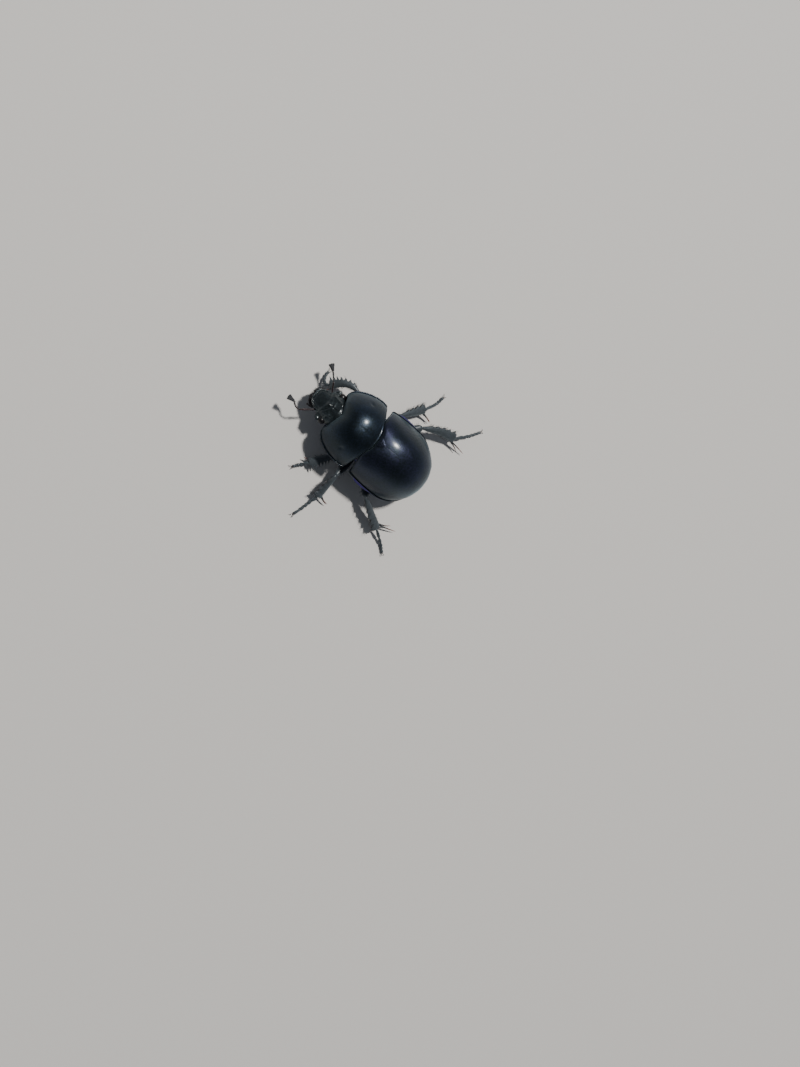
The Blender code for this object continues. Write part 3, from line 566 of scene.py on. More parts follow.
def pronotum_crest(y):
    if y > PRONOTUM_TOP_AT:
        rise = (1.0 - y / PRONOTUM_TOP_AT) ** 2
        return PRONOTUM_TOP - (PRONOTUM_TOP - PRONOTUM_HIND_HEIGHT) * rise
    t = (PRONOTUM_TOP_AT - y) / (PRONOTUM_LENGTH + PRONOTUM_TOP_AT)
    return PRONOTUM_FRONT_HEIGHT + (
        PRONOTUM_TOP - PRONOTUM_FRONT_HEIGHT) * superellipse(t, 1.9)


def pronotum_shift(u, y):
    """Hind corners are drawn forward and the front edge has a bay for the head."""
    hind_corner = base_wave(u) + PRONOTUM_CORNER_PULL * smoothstep(0.6, 0.88, abs(u))
    neck_bay = max(0.0, 1.0 - abs(u) / 0.6) * max(0.0, (-y - PRONOTUM_LENGTH + 1.5) / 1.5)
    return NECK_BAY * neck_bay - hind_corner * max(0.0, 1.0 + y / 2.5)


def edge_relief(distance):
    """A rounded edge, a raised bead and the groove behind it."""
    turned = max(0.0, 0.1 - distance)
    rounding = 0.1 - math.sqrt(max(0.0, 0.01 - turned * turned))
    return 0.015 * bump_at(distance, 0.11, 0.06) - 0.022 * bump_at(distance, 0.22, 0.05) - rounding


def shield_rows():
    """Places along the pronotum with their distances from its hind and front edges."""
    rows = []
    distance = 0.0
    while distance < 0.5:
        rows.append((-PRONOTUM_START - distance, distance, FAR))
        distance += 0.02 if distance < 0.36 else 0.045
    for k in range(1, 22):
        y = -PRONOTUM_START - 0.5 + (PRONOTUM_TOP_AT + PRONOTUM_START + 0.5) * k / 22
        rows.append((y, FAR, FAR))
    reach = PRONOTUM_LENGTH + PRONOTUM_TOP_AT
    turns = [k / 46 * 1.38 for k in range(46)] + [1.38 + 0.0072 * k for k in range(27)]
    for turn in turns:
        turn = min(turn, math.pi / 2)
        y = PRONOTUM_TOP_AT - reach * math.sin(turn)
        rows.append((y, FAR, (math.pi / 2 - turn) * FRONT_ARC_RADIUS))
        if turn == math.pi / 2:
            break
    return rows


def shield_rings():
    """Outer dome, bead, inner dome and the other bead of the pronotum, from hind to front."""
    rows = shield_rows()
    spans = side_to_side(SHIELD_COLUMNS)
    dome = np.zeros((len(rows), len(spans), 3))
    for i, (y, _, _) in enumerate(rows):
        edge = pronotum_half_width(y) - 2 * SHIELD_BEAD - SHIELD_GUTTER
        foot = pronotum_margin(y) + SHIELD_BEAD
        crest = pronotum_crest(y)
        for j, u in enumerate(spans):
            dome[i, j] = (edge * u, y + pronotum_shift(u, y),
                          foot + (crest - foot) * dome_arch(u))
    normals = surface_normals(dome)
    rings = []
    for i, (y, behind, ahead) in enumerate(rows):
        outer = []
        inner = []
        middle = smoothstep(-3.6, -2.6, y) * (1.0 - smoothstep(-1.2, -0.5, y))
        for place, normal in zip(dome[i], normals[i]):
            point = Vector(place)
            outward = turned_to(normal, UP)
            height = edge_relief(behind) + edge_relief(ahead)
            height -= 0.008 * bump_at(point.x, 0.0, 0.12) * middle
            height -= 0.10 * bump_at(abs(point.x), 3.25, 0.24) * bump_at(y, -2.75, 0.24)
            outer.append(point + outward * height)
            inner.append(point - outward * SHIELD_THICKNESS)
        half = pronotum_half_width(y) - 0.06 * (bump_at(behind, 0, 0.08) + bump_at(ahead, 0, 0.08))
        margin = pronotum_margin(y)
        bead = half - SHIELD_BEAD
        shift = y + pronotum_shift(1.0, y)
        rim = [Vector(((abs(outer[-1].x) + bead - SHIELD_BEAD) / 2, shift,
                       margin + SHIELD_BEAD * 0.75))]
        rim += bead_points(bead, shift, margin, SHIELD_BEAD, SHIELD_BEAD_TURNS)
        rim.append(Vector((bead - 0.1, shift, margin - 0.14)))
        rim.append(Vector((bead - 0.6, shift, margin - 0.16)))
        limit = bead - 0.61
        for point in inner:
            point.x = max(-limit, min(limit, point.x))
            point.z = max(margin - 0.1, point.z)
        rings.append(outer + rim + inner[::-1] + to_side(rim[::-1], -1))
    walls = shell_walls(len(spans), len(rim))
    walls.append(list(range(2 * len(spans) + len(rim) - 1, len(rings[0]))) + [0])
    return rings, walls


shield_material = chitin("pronotum_chitin", deep=(0.007, 0.011, 0.014),
                         sheen=(0.015, 0.023, 0.042), roughness=0.33, metallic=0.8, pits=6.0)
rings, walls = shield_rings()
pronotum = ring_skin("pronotum_shield", rings, shield_material, "pronotum_shield", walls)
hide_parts("pronotum")

# ---------------------------------------------------------------------------------------------
# Underside. Three bowls of metallic violet chitin close the body from below: the breast under
# the pronotum, the hind thorax that carries the middle and hind legs, and the belly with its six
# overlapping plates. Behind them the last plate, the pygidium, curls up under the wing cases.
# ---------------------------------------------------------------------------------------------
BELLY_HEIGHT = 1.2
BREAST_HEIGHT = 1.6
THORAX_END = 3.5
VENTER_ROUNDNESS = 1.4
BREAST_INSET = 0.35
TRUNK_INSET = 0.3
TRUNK_CLEARANCE = 0.75
WAIST_INSET = 1.25
WAIST_LENGTH = 2.4
PLATE_EDGES = (3.55, 4.55, 5.45, 6.3, 7.1, 7.85, 8.6)
BOWL_COLUMNS = 30
COLLAR_START = -0.9
COLLAR_LENGTH = 1.9
COLLAR_HALF_WIDTH = 2.85
COLLAR_FLOOR = 2.15
PYGIDIUM_START = 8.6
PYGIDIUM_LENGTH = 0.8
PYGIDIUM_HALF_WIDTH = 3.0
PYGIDIUM_HEIGHT = 2.72
PYGIDIUM_SLOPE = 0.3

underside_material = chitin("underside_chitin", deep=(0.016, 0.014, 0.05),
                            sheen=(0.05, 0.035, 0.16), roughness=0.36, metallic=0.95,
                            coat_roughness=0.16, pits=4.2, pit_depth=1.0, grain_depth=0.7,
                            relief=0.03, coat_relief=0.5)


def bowl(name, places, half_width, roof, edge, floor, relief, bay=1.0):
    """A closed trunk piece: a flat or domed roof over a rounded underside with its own relief."""
    spans = side_to_side(BOWL_COLUMNS)
    rings = []
    for y in places:
        half = half_width(y)
        below = []
        for u in spans:
            depth = edge(y) - (edge(y) - floor(y)) * superellipse(u, VENTER_ROUNDNESS)
            below.append(Vector((half * u, y * bay, depth - relief(u, y))))
        above = [Vector((half * u, y * bay, max(roof(u, y), edge(y) + 0.02)))
                 for u in reversed(spans)]
        rings.append(below + above)
    return ring_skin(name, rings, underside_material, "underside")


def breast_half_width(y):
    return pronotum_half_width(y) * (0.9 - 0.28 * smoothstep(-1.3, -0.1, y))


def breast_rise(y):
    return 0.45 * max(0.0, (-y - 3.0) / (PRONOTUM_LENGTH - 3.0)) ** 2


def breast_edge(y):
    return pronotum_margin(y) - BREAST_INSET


def breast_floor(y):
    return BREAST_HEIGHT + breast_rise(y) * (breast_edge(y) - BREAST_HEIGHT)


def breast_relief(u, y):
    """Seams beside the coxae and a low keel between them."""
    seam = -0.06 * bump_at(abs(u), 0.74 + 0.03 * y, 0.022)
    keel = 0.10 * bump_at(u, 0.0, 0.05) * bump_at(y, -2.2, 1.2)
    return seam + keel + 0.03 * noise.noise(Vector((u * 6.0, y * 1.6, 0.0)))


def thorax_relief(u, y):
    """A groove along the middle and the seams of the side plates."""
    groove = -0.05 * bump_at(u, 0.0, 0.02) * smoothstep(1.0, 1.6, y)
    seam = -0.06 * bump_at(abs(u), 0.8 + 0.02 * y, 0.02) - 0.05 * bump_at(y, 1.15, 0.05)
    return groove + seam + 0.025 * noise.noise(Vector((u * 6.0, y * 1.6, 4.0)))


def belly_relief(u, y):
    """Each plate ends in a raised hind edge that overlaps the next."""
    for start, end in zip(PLATE_EDGES, PLATE_EDGES[1:]):
        if y <= end:
            t = (y - start) / (end - start)
            return 0.06 * t ** 2 - 0.05 * bump_at(y, end, 0.03) + 0.02 * noise.noise(
                Vector((u * 9.0, y * 2.0, 8.0)))
    return 0.0


def trunk_edge(y):
    return elytra_margin(y) - 0.2


def trunk_roof(u, y):
    """The top of the trunk keeps clear below the wing cases."""
    half = max(0.3, elytra_half_width(y) - TRUNK_CLEARANCE)
    crest = elytra_crest(y) - TRUNK_CLEARANCE - 0.3 * max(0.0, 1.0 - y)
    dome = elytra_margin(y) + (crest - elytra_margin(y)) * dome_arch(u)
    return dome if half > 0.3 else elytra_margin(y)


def thorax_half_width(y):
    """Narrow at the waist, where the body bends, and as broad as the wing cases behind it."""
    waist = WAIST_INSET * (1.0 - smoothstep(0.0, WAIST_LENGTH, y))
    return elytra_half_width(y) - TRUNK_INSET - waist


def thorax_floor(y):
    """The hind thorax is level below all along its length."""
    return BELLY_HEIGHT


def belly_half_width(y):
    return max(0.3, elytra_half_width(y) - TRUNK_INSET)


def belly_floor(y):
    rise = max(0.0, (y - 5.5) / 4.0) ** 2
    return BELLY_HEIGHT + (trunk_edge(y) - BELLY_HEIGHT - 0.15) * rise


def circle_turns(count):
    """Equal turns of a full circle."""
    return [2 * math.pi * k / count for k in range(count)]


breast_places = [-0.1 - 5.0 * k / 60 for k in range(61)]
breast = bowl("breast", breast_places, breast_half_width,
              lambda u, y: pronotum_margin(y) - 0.2, breast_edge, breast_floor, breast_relief,
              0.98)
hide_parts("prosternum")
thorax_places = [0.12 + (THORAX_END - 0.12) * k / 50 for k in range(51)]
thorax = bowl("hind_thorax_plates", thorax_places, thorax_half_width, trunk_roof, trunk_edge,
              thorax_floor, thorax_relief)
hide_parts("hind_thorax")
belly_places = [THORAX_END + 0.03 + 5.1 * k / 130 for k in range(131)]
belly = bowl("belly_plates", belly_places, belly_half_width, trunk_roof, trunk_edge, belly_floor,
             belly_relief)
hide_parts("abdomen")

# The waist: a soft dark wrinkled collar that joins the two parts of the body inside their rims.
collar_material = new_material("collar_membrane", {
    "Base Color": (0.012, 0.010, 0.012, 1.0), "Roughness": 0.6})[0]
top = min(pronotum_crest(COLLAR_START), elytra_crest(0.6)) - TRUNK_CLEARANCE
middle = (top + COLLAR_FLOOR) / 2
rings = []
for step in range(33):
    y = COLLAR_START + COLLAR_LENGTH * step / 32
    pinch = 1.0 + 0.02 * math.cos(step * 1.6)
    ring = []
    for turn in circle_turns(72):
        wide = math.copysign(abs(math.cos(turn)) ** 0.8, math.cos(turn))
        tall = math.copysign(abs(math.sin(turn)) ** 0.8, math.sin(turn))
        ring.append(Vector((COLLAR_HALF_WIDTH * pinch * wide, y,
                            middle + (top - COLLAR_FLOOR) / 2 * pinch * tall)))
    rings.append(ring)
ring_skin("waist_collar", rings, collar_material, "underside")

rings = []
for step in range(15):
    y = PYGIDIUM_START + PYGIDIUM_LENGTH * step / 14
    half = PYGIDIUM_HALF_WIDTH * superellipse((y - 8.1) / 1.4, 2.2)
    height = PYGIDIUM_HEIGHT - PYGIDIUM_SLOPE * (y - PYGIDIUM_START)
    swell = 0.62 * (1.0 - 0.55 * smoothstep(8.9, 9.4, y))
    top = [Vector((half * u, y, height - 0.05 * u * u)) for u in side_to_side(14)]
    under = [Vector((half * u, y, height - 0.06 - swell * (1.0 - u * u)))
             for u in reversed(side_to_side(14))]
    rings.append(top + under)
pygidium = ring_skin("pygidium_plate", rings, underside_material, "underside")
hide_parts("pygidium")

# ---------------------------------------------------------------------------------------------
# Head. One hard capsule whose front, the clypeus, is a rounded shovel with a raised rim and a
# blunt knob in the middle. Grooves part it from the face, a lobe covers the front half of each
# eye, and low ridges run back beside the eyes. Its skin is coarse and wrinkled.
# ---------------------------------------------------------------------------------------------
HEAD_BACK = -4.6
HEAD_FRONT = -8.36
HEAD_TURN = Matrix.Rotation(math.radians(-6.5), 4, "Z")
NECK = Vector((0.0, -5.0, 0.0))
# Half width, crest, edge and chin of the head, each a run of places and amounts
HEAD_OUTLINE = [(-8.36, 0.25), (-8.28, 0.62), (-8.1, 0.92), (-7.8, 1.17), (-7.4, 1.3),
                (-7.05, 1.36), (-6.85, 1.6), (-6.66, 2.0), (-6.45, 2.26), (-6.2, 2.3),
                (-5.95, 2.12), (-5.6, 1.92), (-5.2, 1.9), (-4.6, 1.86)]
HEAD_CREST = [(-8.36, 3.22), (-8.0, 3.5), (-7.5, 3.86), (-7.0, 4.2), (-6.5, 4.55), (-6.0, 4.88),
              (-5.5, 5.16), (-5.1, 5.32), (-4.6, 5.4)]
HEAD_EDGE = [(-8.36, 3.06), (-7.4, 3.28), (-6.9, 3.5), (-6.4, 3.72), (-5.8, 3.8), (-4.6, 3.9)]
HEAD_CHIN = [(-8.36, 2.86), (-7.7, 2.9), (-7.0, 2.6), (-6.2, 2.4), (-4.6, 2.35)]
HEAD_ROWS = 150
HEAD_COLUMNS = 48
HEAD_ARCH = 2.3
EYE_LOBE_HALF_WIDTH = 1.78
CHIN_HALF_WIDTH = 1.55
KNOB_AT = Vector((0.0, -6.6))
EYE_CENTRE = Vector((1.86, -5.76, 3.86))
EYE_HALF_SIZE = Vector((0.44, 0.46, 0.38))


def on_head(point):
    """A point of the head, which the beetle holds turned a little to its right."""
    return HEAD_TURN @ (Vector(point) - NECK) + NECK


def through(points, value):
    """A smooth curve through sorted pairs of place and amount."""
    places = [point[0] for point in points]
    amounts = [point[1] for point in points]
    k = max(0, min(len(points) - 2, int(np.searchsorted(places, value)) - 1))
    slopes = []
    for n in (k, k + 1):
        low, high = max(0, n - 1), min(len(points) - 1, n + 1)
        slopes.append((amounts[high] - amounts[low]) / (places[high] - places[low]))
    span = places[k + 1] - places[k]
    t = min(1.0, max(0.0, (value - places[k]) / span))
    rise = amounts[k + 1] - amounts[k]
    bend = t * (1.0 - t) * ((slopes[0] * span - rise) * (1.0 - t) + (rise - slopes[1] * span) * t)
    return amounts[k] + rise * t + bend


def to_segment(point, start, end):
    """Distance of a point from a line piece, seen from above."""
    along = end - start
    t = min(1.0, max(0.0, (point - start).dot(along) / along.length_squared))
    return (point - start - along * t).length


def head_relief(x, y, rim):
    """Rim, knob, grooves, ridges and wrinkles of the top of the head."""
    place = Vector((x, y))
    mirrored = Vector((abs(x), y))
    clypeus = 1.0 - smoothstep(-7.2, -6.8, y)
    height = clypeus * (0.075 * bump_at(rim, 0.07, 0.07) - 0.05 * bump_at(rim, 0.24, 0.10))
    height += 0.17 * bump_at((place - KNOB_AT).length, 0.0, 0.24)
    groove = min(to_segment(mirrored, Vector((1.62, -6.95)), Vector((0.62, -6.42))),
                 to_segment(mirrored, Vector((0.62, -6.42)), Vector((0.0, -6.22))),
                 to_segment(mirrored, Vector((0.0, -6.22)), Vector((0.0, -5.7))))
    height -= 0.055 * bump_at(groove, 0.0, 0.06)
    lobe_groove = to_segment(mirrored, Vector((1.5, -6.9)), Vector((1.62, -6.1)))
    height -= 0.06 * bump_at(lobe_groove, 0.0, 0.07)
    ridge = to_segment(mirrored, Vector((1.22, -6.55)), Vector((1.02, -5.45)))
    height += 0.11 * bump_at(ridge, 0.0, 0.13)
    height -= 0.05 * bump_at((mirrored - Vector((0.62, -5.95))).length, 0.0, 0.2)
    height += 0.06 * bump_at(y, -5.3, 0.22) * bump_at(x, 0.0, 0.9)
    height += 0.05 * bump_at((mirrored - Vector((2.05, -6.45))).length, 0.0, 0.35)
    coarse = noise.noise(Vector((x * 3.1, y * 3.1, 1.7)))
    fine = noise.noise(Vector((x * 7.5, y * 7.5, 5.2)))
    crumpled = abs(noise.noise(Vector((x * 4.6, y * 4.6, 9.1))))
    fade = 1.0 - 0.75 * smoothstep(-5.7, -5.0, y)
    return height + fade * (0.022 * coarse + 0.010 * fine + 0.026 * (0.25 - crumpled))


def head_rings():
    """Top and underside of the head, from its neck to the front of the clypeus."""
    rings = []
    for k in range(HEAD_ROWS + 1):
        y = HEAD_BACK + (HEAD_FRONT - HEAD_BACK) * math.sin(math.pi / 2 * k / HEAD_ROWS) ** 0.9
        half = through(HEAD_OUTLINE, y)
        crest = through(HEAD_CREST, y)
        edge = through(HEAD_EDGE, y)
        chin = through(HEAD_CHIN, y)
        lobe = smoothstep(-6.95, -6.7, y) * (1.0 - smoothstep(-6.1, -5.85, y))
        top = []
        under = []
        for u in side_to_side(HEAD_COLUMNS):
            x = half * u
            body = min(1.0, abs(x) / EYE_LOBE_HALF_WIDTH if lobe else abs(u))
            arch = (1.0 - body ** HEAD_ARCH) ** 0.75
            rim = min((1.0 - abs(u)) * half, (y - HEAD_FRONT) * 1.1)
            z = edge + (crest - edge) * ((1.0 - lobe) * (1.0 - abs(u) ** HEAD_ARCH) ** 0.75
                                         + lobe * (arch + 0.06 * (1.0 - abs(u))))
            fade = min(1.0, rim / 0.03) ** 0.5 if rim > 0 else 0.0
            top.append(Vector((x, y, z + fade * head_relief(x, y, rim))))
            depth = superellipse(min(1.0, abs(x) / CHIN_HALF_WIDTH), 2.0)
            under.append(Vector((x * 0.985, y + 0.02 * (1.0 - abs(u)),
                                 edge - 0.13 - (edge - 0.13 - chin) * depth)))
        rings.append([on_head(point) for point in top + under[::-1]])
    return rings


head_material = chitin("head_chitin", deep=(0.008, 0.010, 0.011), sheen=(0.016, 0.024, 0.026),
                       roughness=0.42, metallic=0.6, coat=0.6, coat_roughness=0.16, pits=5.5,
                       pit_depth=0.8, grain=10.0, grain_depth=0.7, relief=0.014,
                       coat_relief=0.5)
head = ring_skin("head_capsule", head_rings(), head_material, "head_plate", sharp=70.0)
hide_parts("head")

# Eyes. Small dark compound eyes with a soft gloss, set half under the lobes of the head. Hundreds
# of fine round lenses in rows cover each of them.
eye_material, tree, shader, position = new_material("eye_lenses", {
    "Base Color": (0.006, 0.006, 0.007, 1.0), "Roughness": 0.32, "Specular IOR Level": 0.25,
    "Coat Weight": 0.15, "Coat Roughness": 0.12})
lenses = add_node(tree, "ShaderNodeTexVoronoi", {"Vector": position, "Scale": 22.0,
                                                 "Randomness": 0.25})
add_relief(tree, shader, lenses.outputs["Distance"], 0.5, 0.012, invert=True)
for side_name, side in SIDES.items():
    bm = bmesh.new()
    bmesh.ops.create_icosphere(bm, subdivisions=5, radius=1.0)
    for vert in bm.verts:
        around = math.atan2(vert.co.y, vert.co.x)
        lens = math.sin(vert.co.z * 26.0) * math.sin(around * 26.0 * math.hypot(*vert.co.xy))
        vert.co *= 1.0 + 0.005 * lens
        point = vert.co * EYE_HALF_SIZE + EYE_CENTRE
        point.x *= side
        vert.co = placed(on_head(point))
    bmesh.ops.recalc_face_normals(bm, faces=bm.faces)
    eye = add_mesh_object("eye_%s_lenses" % side_name, bm, eye_material)
    eye.data.shade_smooth()
    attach(eye, "root")
    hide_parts("eye_" + side_name)

# ---------------------------------------------------------------------------------------------
# Upper lip. A short thick plate that juts out from under the clypeus, notched in the middle of
# its front edge and a little hollow above.
# ---------------------------------------------------------------------------------------------
LABRUM_HALF_WIDTH = 0.82
LABRUM_BACK = -7.95
LABRUM_FRONT = -8.62
LABRUM_HEIGHT = 2.78

mouth_material = chitin("mouth_chitin", deep=(0.010, 0.012, 0.014), sheen=(0.035, 0.028, 0.03),
                        roughness=0.4, metallic=0.5, pits=6.5, grain=9.0, grain_depth=0.8,
                        relief=0.02, coat_relief=0.5)
rings = []
for step in range(61):
    u = math.sin(math.pi / 2 * (step / 30 - 1.0)) * 0.999
    front = LABRUM_FRONT + 0.16 * bump_at(u, 0.0, 0.2) + 0.34 * abs(u) ** 4
    ring = []
    for k, turn in enumerate(circle_turns(28)):
        ahead = (1.0 - math.cos(turn)) / 2
        thick = 0.13 * (1.0 - 0.45 * ahead) * (1.0 - abs(u) ** 6) ** 0.5 + 0.01
        rise = 0.05 * bump_at(abs(u), 0.5, 0.25) * ahead - 0.10 * abs(u) ** 3
        y = LABRUM_BACK + (front - LABRUM_BACK) * ahead
        wrinkle = 0.012 * noise.noise(Vector((u * 7.0, y * 8.0, k * 0.1)))
        ring.append(Vector((LABRUM_HALF_WIDTH * u, y,
                            LABRUM_HEIGHT + rise + wrinkle - 0.12 * ahead
                            + thick * math.sin(turn))))
    rings.append([on_head(point) for point in ring])
labrum = ring_skin("labrum_plate", rings, mouth_material, "head_plate", sharp=60.0)
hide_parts("labrum")

# ---------------------------------------------------------------------------------------------
# Jaws. Two strong sickle-shaped mandibles with a broad rounded outer lobe. Their blades meet in
# front of the lip, each with two blunt teeth at its tip.
# ---------------------------------------------------------------------------------------------
MANDIBLE_CENTRE = Vector((0.12, -7.42, 2.24))
MANDIBLE_REACH = 1.12
MANDIBLE_BLADE = [(0.0, 0.30), (0.3, 0.36), (0.6, 0.30), (0.85, 0.22), (0.95, 0.20), (1.0, 0.08)]


def mandible_rings(side):
    """Rings along the curved blade of a jaw, from its hinge to its tip."""
    rings = []
    for step in range(71):
        t = step / 70
        angle = math.radians(-24.0 + 112.0 * t)
        outward = Vector((math.cos(angle), -math.sin(angle), 0.0))
        half = through(MANDIBLE_BLADE, t)
        reach = MANDIBLE_REACH * (1.0 + 0.10 * bump_at(t, 0.45, 0.28)) - half * 0.75
        reach -= 0.09 * bump_at(t, 0.90, 0.035)
        lift = 0.12 + 0.12 * t
        ring = []
        for turn in circle_turns(20):
            thick = (0.21 - 0.10 * t) * (1.0 - 0.35 * math.cos(turn))
            point = (MANDIBLE_CENTRE + outward * (reach + half * math.cos(turn))
                     + UP * (lift + thick * math.sin(turn)))
            point.x *= side
            ring.append(on_head(point))
        rings.append(ring)
    return rings


for side_name, side in SIDES.items():
    mandible = ring_skin("mandible_%s_blade" % side_name, mandible_rings(side), mouth_material,
                         "head_plate", sharp=60.0)
    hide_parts("mandible_" + side_name)

# ---------------------------------------------------------------------------------------------
# Palps. Two pairs of short feelers beside the mouth, of slender joints like beads on a string,
# the last joint spindle-shaped; dark brown and thinly haired.
# ---------------------------------------------------------------------------------------------
# Places along each palp of the left side, its number of joints and its radius
PALPS = {
    "maxillary_palp": ([(0.95, -6.7, 2.0), (1.3, -7.3, 1.75), (1.35, -7.95, 1.65)], 4, 0.12),
    "labial_palp": ([(0.35, -6.75, 1.95), (0.5, -7.2, 1.7), (0.45, -7.6, 1.6)], 3, 0.10),
}


def curve_point(points, t):
    """A point on the smooth curve through the points, t running from 0 to 1 over all of them."""
    reach = t * (len(points) - 1)
    k = min(len(points) - 2, int(reach))
    t = reach - k
    p1, p2 = Vector(points[k]), Vector(points[k + 1])
    p0 = Vector(points[k - 1]) if k > 0 else p1 * 2 - p2
    p3 = Vector(points[k + 2]) if k + 2 < len(points) else p2 * 2 - p1
    return (p1 * 2 + (p2 - p0) * t + (p0 * 2 - p1 * 5 + p2 * 4 - p3) * t * t
            + (p1 * 3 - p0 - p2 * 3 + p3) * t ** 3) / 2


def frame_at(points, t, hint):
    """Place, direction, broad side and lift of a limb at one place along its curve."""
    ahead = curve_point(points, min(1.0, t + 0.01)) - curve_point(points, max(0.0, t - 0.01))
    ahead.normalize()
    hint = Vector(hint)
    side = (hint - ahead * hint.dot(ahead)).normalized()
    return curve_point(points, t), ahead, side, ahead.cross(side)


def oval(centre, side, lift, width, thickness, count=20):
    """A smooth oval ring across a limb."""
    return [centre + side * width * math.cos(turn) + lift * thickness * math.sin(turn)
            for turn in circle_turns(count)]


def bead_rings(points, start, end, radius, hint=UP, slim=0.62, steps=12, count=14):
    """One joint between two places of a curve: thin at its base and swollen before its end."""
    rings = []
    for step in range(steps + 1):
        s = step / steps
        centre, _, side, lift = frame_at(points, start + (end - start) * s, hint)
        swell = slim + (1.0 - slim) * smoothstep(0.0, 0.75, s)
        cap = min(1.0, (0.25 + s * steps / 2.0), (0.3 + (1.0 - s) * steps / 1.6))
        reach = radius * swell * cap
        rings.append(oval(centre, side, lift, reach, reach, count))
    return rings


def palp_points(points, side):
    return [on_head(point) for point in to_side(points, side)]


feeler_material = chitin("feeler_chitin", deep=(0.012, 0.007, 0.007), sheen=(0.036, 0.014, 0.013),
                         roughness=0.42, metallic=0.1, coat_roughness=0.2, pits=9.0, grain=14.0)
for side_name, side in SIDES.items():
    for palp, (points, joints, radius) in PALPS.items():
        points = palp_points(points, side)
        bm = bmesh.new()
        for joint in range(joints):
            start = (joint - 0.06) / joints if joint else 0.0
            slim = 0.5 if joint < joints - 1 else 0.75
            add_loft(bm, bead_rings(points, start, (joint + 1) / joints, radius, slim=slim))
        finish_piece("%s_%s_joints" % (palp, side_name), bm, feeler_material, "feeler",
                     "%s_%s" % (palp, side_name))

# ---------------------------------------------------------------------------------------------
# Antennae. A long first joint, then a chain of small round beads, deep red-brown and shiny. Each
# ends in a club of three flat leaves, grey with fine down, that open like a fan.
# ---------------------------------------------------------------------------------------------
STALKS = {
    "left": [(0.85, -6.75, 3.0), (1.38, -7.45, 3.05), (1.9, -8.15, 3.1), (2.4, -8.85, 3.15),
             (2.3, -9.45, 3.2), (1.98, -9.82, 3.2)],
    "right": [(-1.7, -6.7, 3.0), (-2.15, -6.98, 3.08), (-2.62, -7.3, 3.2), (-3.05, -7.6, 3.2),
              (-3.45, -7.92, 3.15), (-3.75, -8.2, 3.1)],
}
# Root of each club and the way it points
CLUBS = {"left": ((1.98, -9.82, 3.2), (0.0, -1.0, 0.0)),
         "right": ((-3.77, -8.2, 3.1), (-0.62, -0.78, 0.0))}
CLUB_SPLAY = 15.0
SCAPE_SHARE = 0.5
BEADS = 7
LEAF_LENGTH = 0.96
LEAF_HALF_WIDTH = 0.25
LEAF_HALF_THICKNESS = 0.085

down_material, tree, shader, position = new_material("club_down", {
    "Base Color": (0.020, 0.023, 0.027, 1.0), "Roughness": 0.75, "Sheen Weight": 0.12})
fuzz = add_node(tree, "ShaderNodeTexNoise", {"Vector": position, "Scale": 22.0, "Detail": 3.0})
add_relief(tree, shader, fuzz.outputs["Fac"], 0.7, 0.02)


def scape_rings(points):
    """The long first joint of an antenna."""
    rings = []
    for step in range(25):
        s = step / 24
        centre, _, side, lift = frame_at(points, s * SCAPE_SHARE, UP)
        reach = 0.105 + 0.04 * smoothstep(0.5, 0.9, s) - 0.03 * bump_at(s, 0.12, 0.08)
        reach *= min(1.0, 0.4 + 6.0 * s, 0.35 + 8.0 * (1.0 - s))
        rings.append(oval(centre, side, lift, reach, reach, 16))
    return rings


def leaf_rings(root, pointing, leaf):
    """One leaf of a club; the leaves are numbered -1, 0 and 1 and open like a fan."""
    turned = (Matrix.Rotation(math.radians(CLUB_SPLAY * leaf), 3, "Z")
              @ Vector(pointing).normalized())
    flat_side = turned.cross(UP)
    rings = []
    for step in range(25):
        s = step / 24
        tip = 1.0 if 0 < step < 24 else 0.35
        body = max(0.0, 1.0 - (2.0 * s - 1.0) ** 4) ** 0.5
        broad = LEAF_HALF_WIDTH * (0.45 + 0.55 * body * (0.7 + 0.3 * s)) * tip
        thick = LEAF_HALF_THICKNESS * (0.6 + 0.4 * body) * tip
        cup = 0.05 * leaf * math.sin(math.pi * s)
        centre = Vector(root) + turned * (0.02 + LEAF_LENGTH * s) + flat_side * cup
        rings.append(oval(centre, UP, flat_side, broad * 1.25, thick + broad * 0.35, 18))
    return rings


for side_name, points in STALKS.items():
    bm = bmesh.new()
    add_loft(bm, scape_rings(points))
    for bead in range(BEADS):
        start = SCAPE_SHARE + (1.0 - SCAPE_SHARE) * (bead - 0.05) / BEADS
        end = SCAPE_SHARE + (1.0 - SCAPE_SHARE) * (bead + 1.0) / BEADS
        radius = 0.125 if bead == 0 else 0.095 + 0.009 * bead
        add_loft(bm, bead_rings(points, start, end, radius, steps=9, slim=0.55))
    finish_piece("antenna_%s_stalk" % side_name, bm, feeler_material, "feeler",
                 "antenna_" + side_name)

    bm = bmesh.new()
    for leaf in (-1, 0, 1):
        add_loft(bm, leaf_rings(*CLUBS[side_name], leaf))
    finish_piece("antenna_club_%s_leaves" % side_name, bm, down_material, "feeler",
                 "antenna_club_" + side_name)
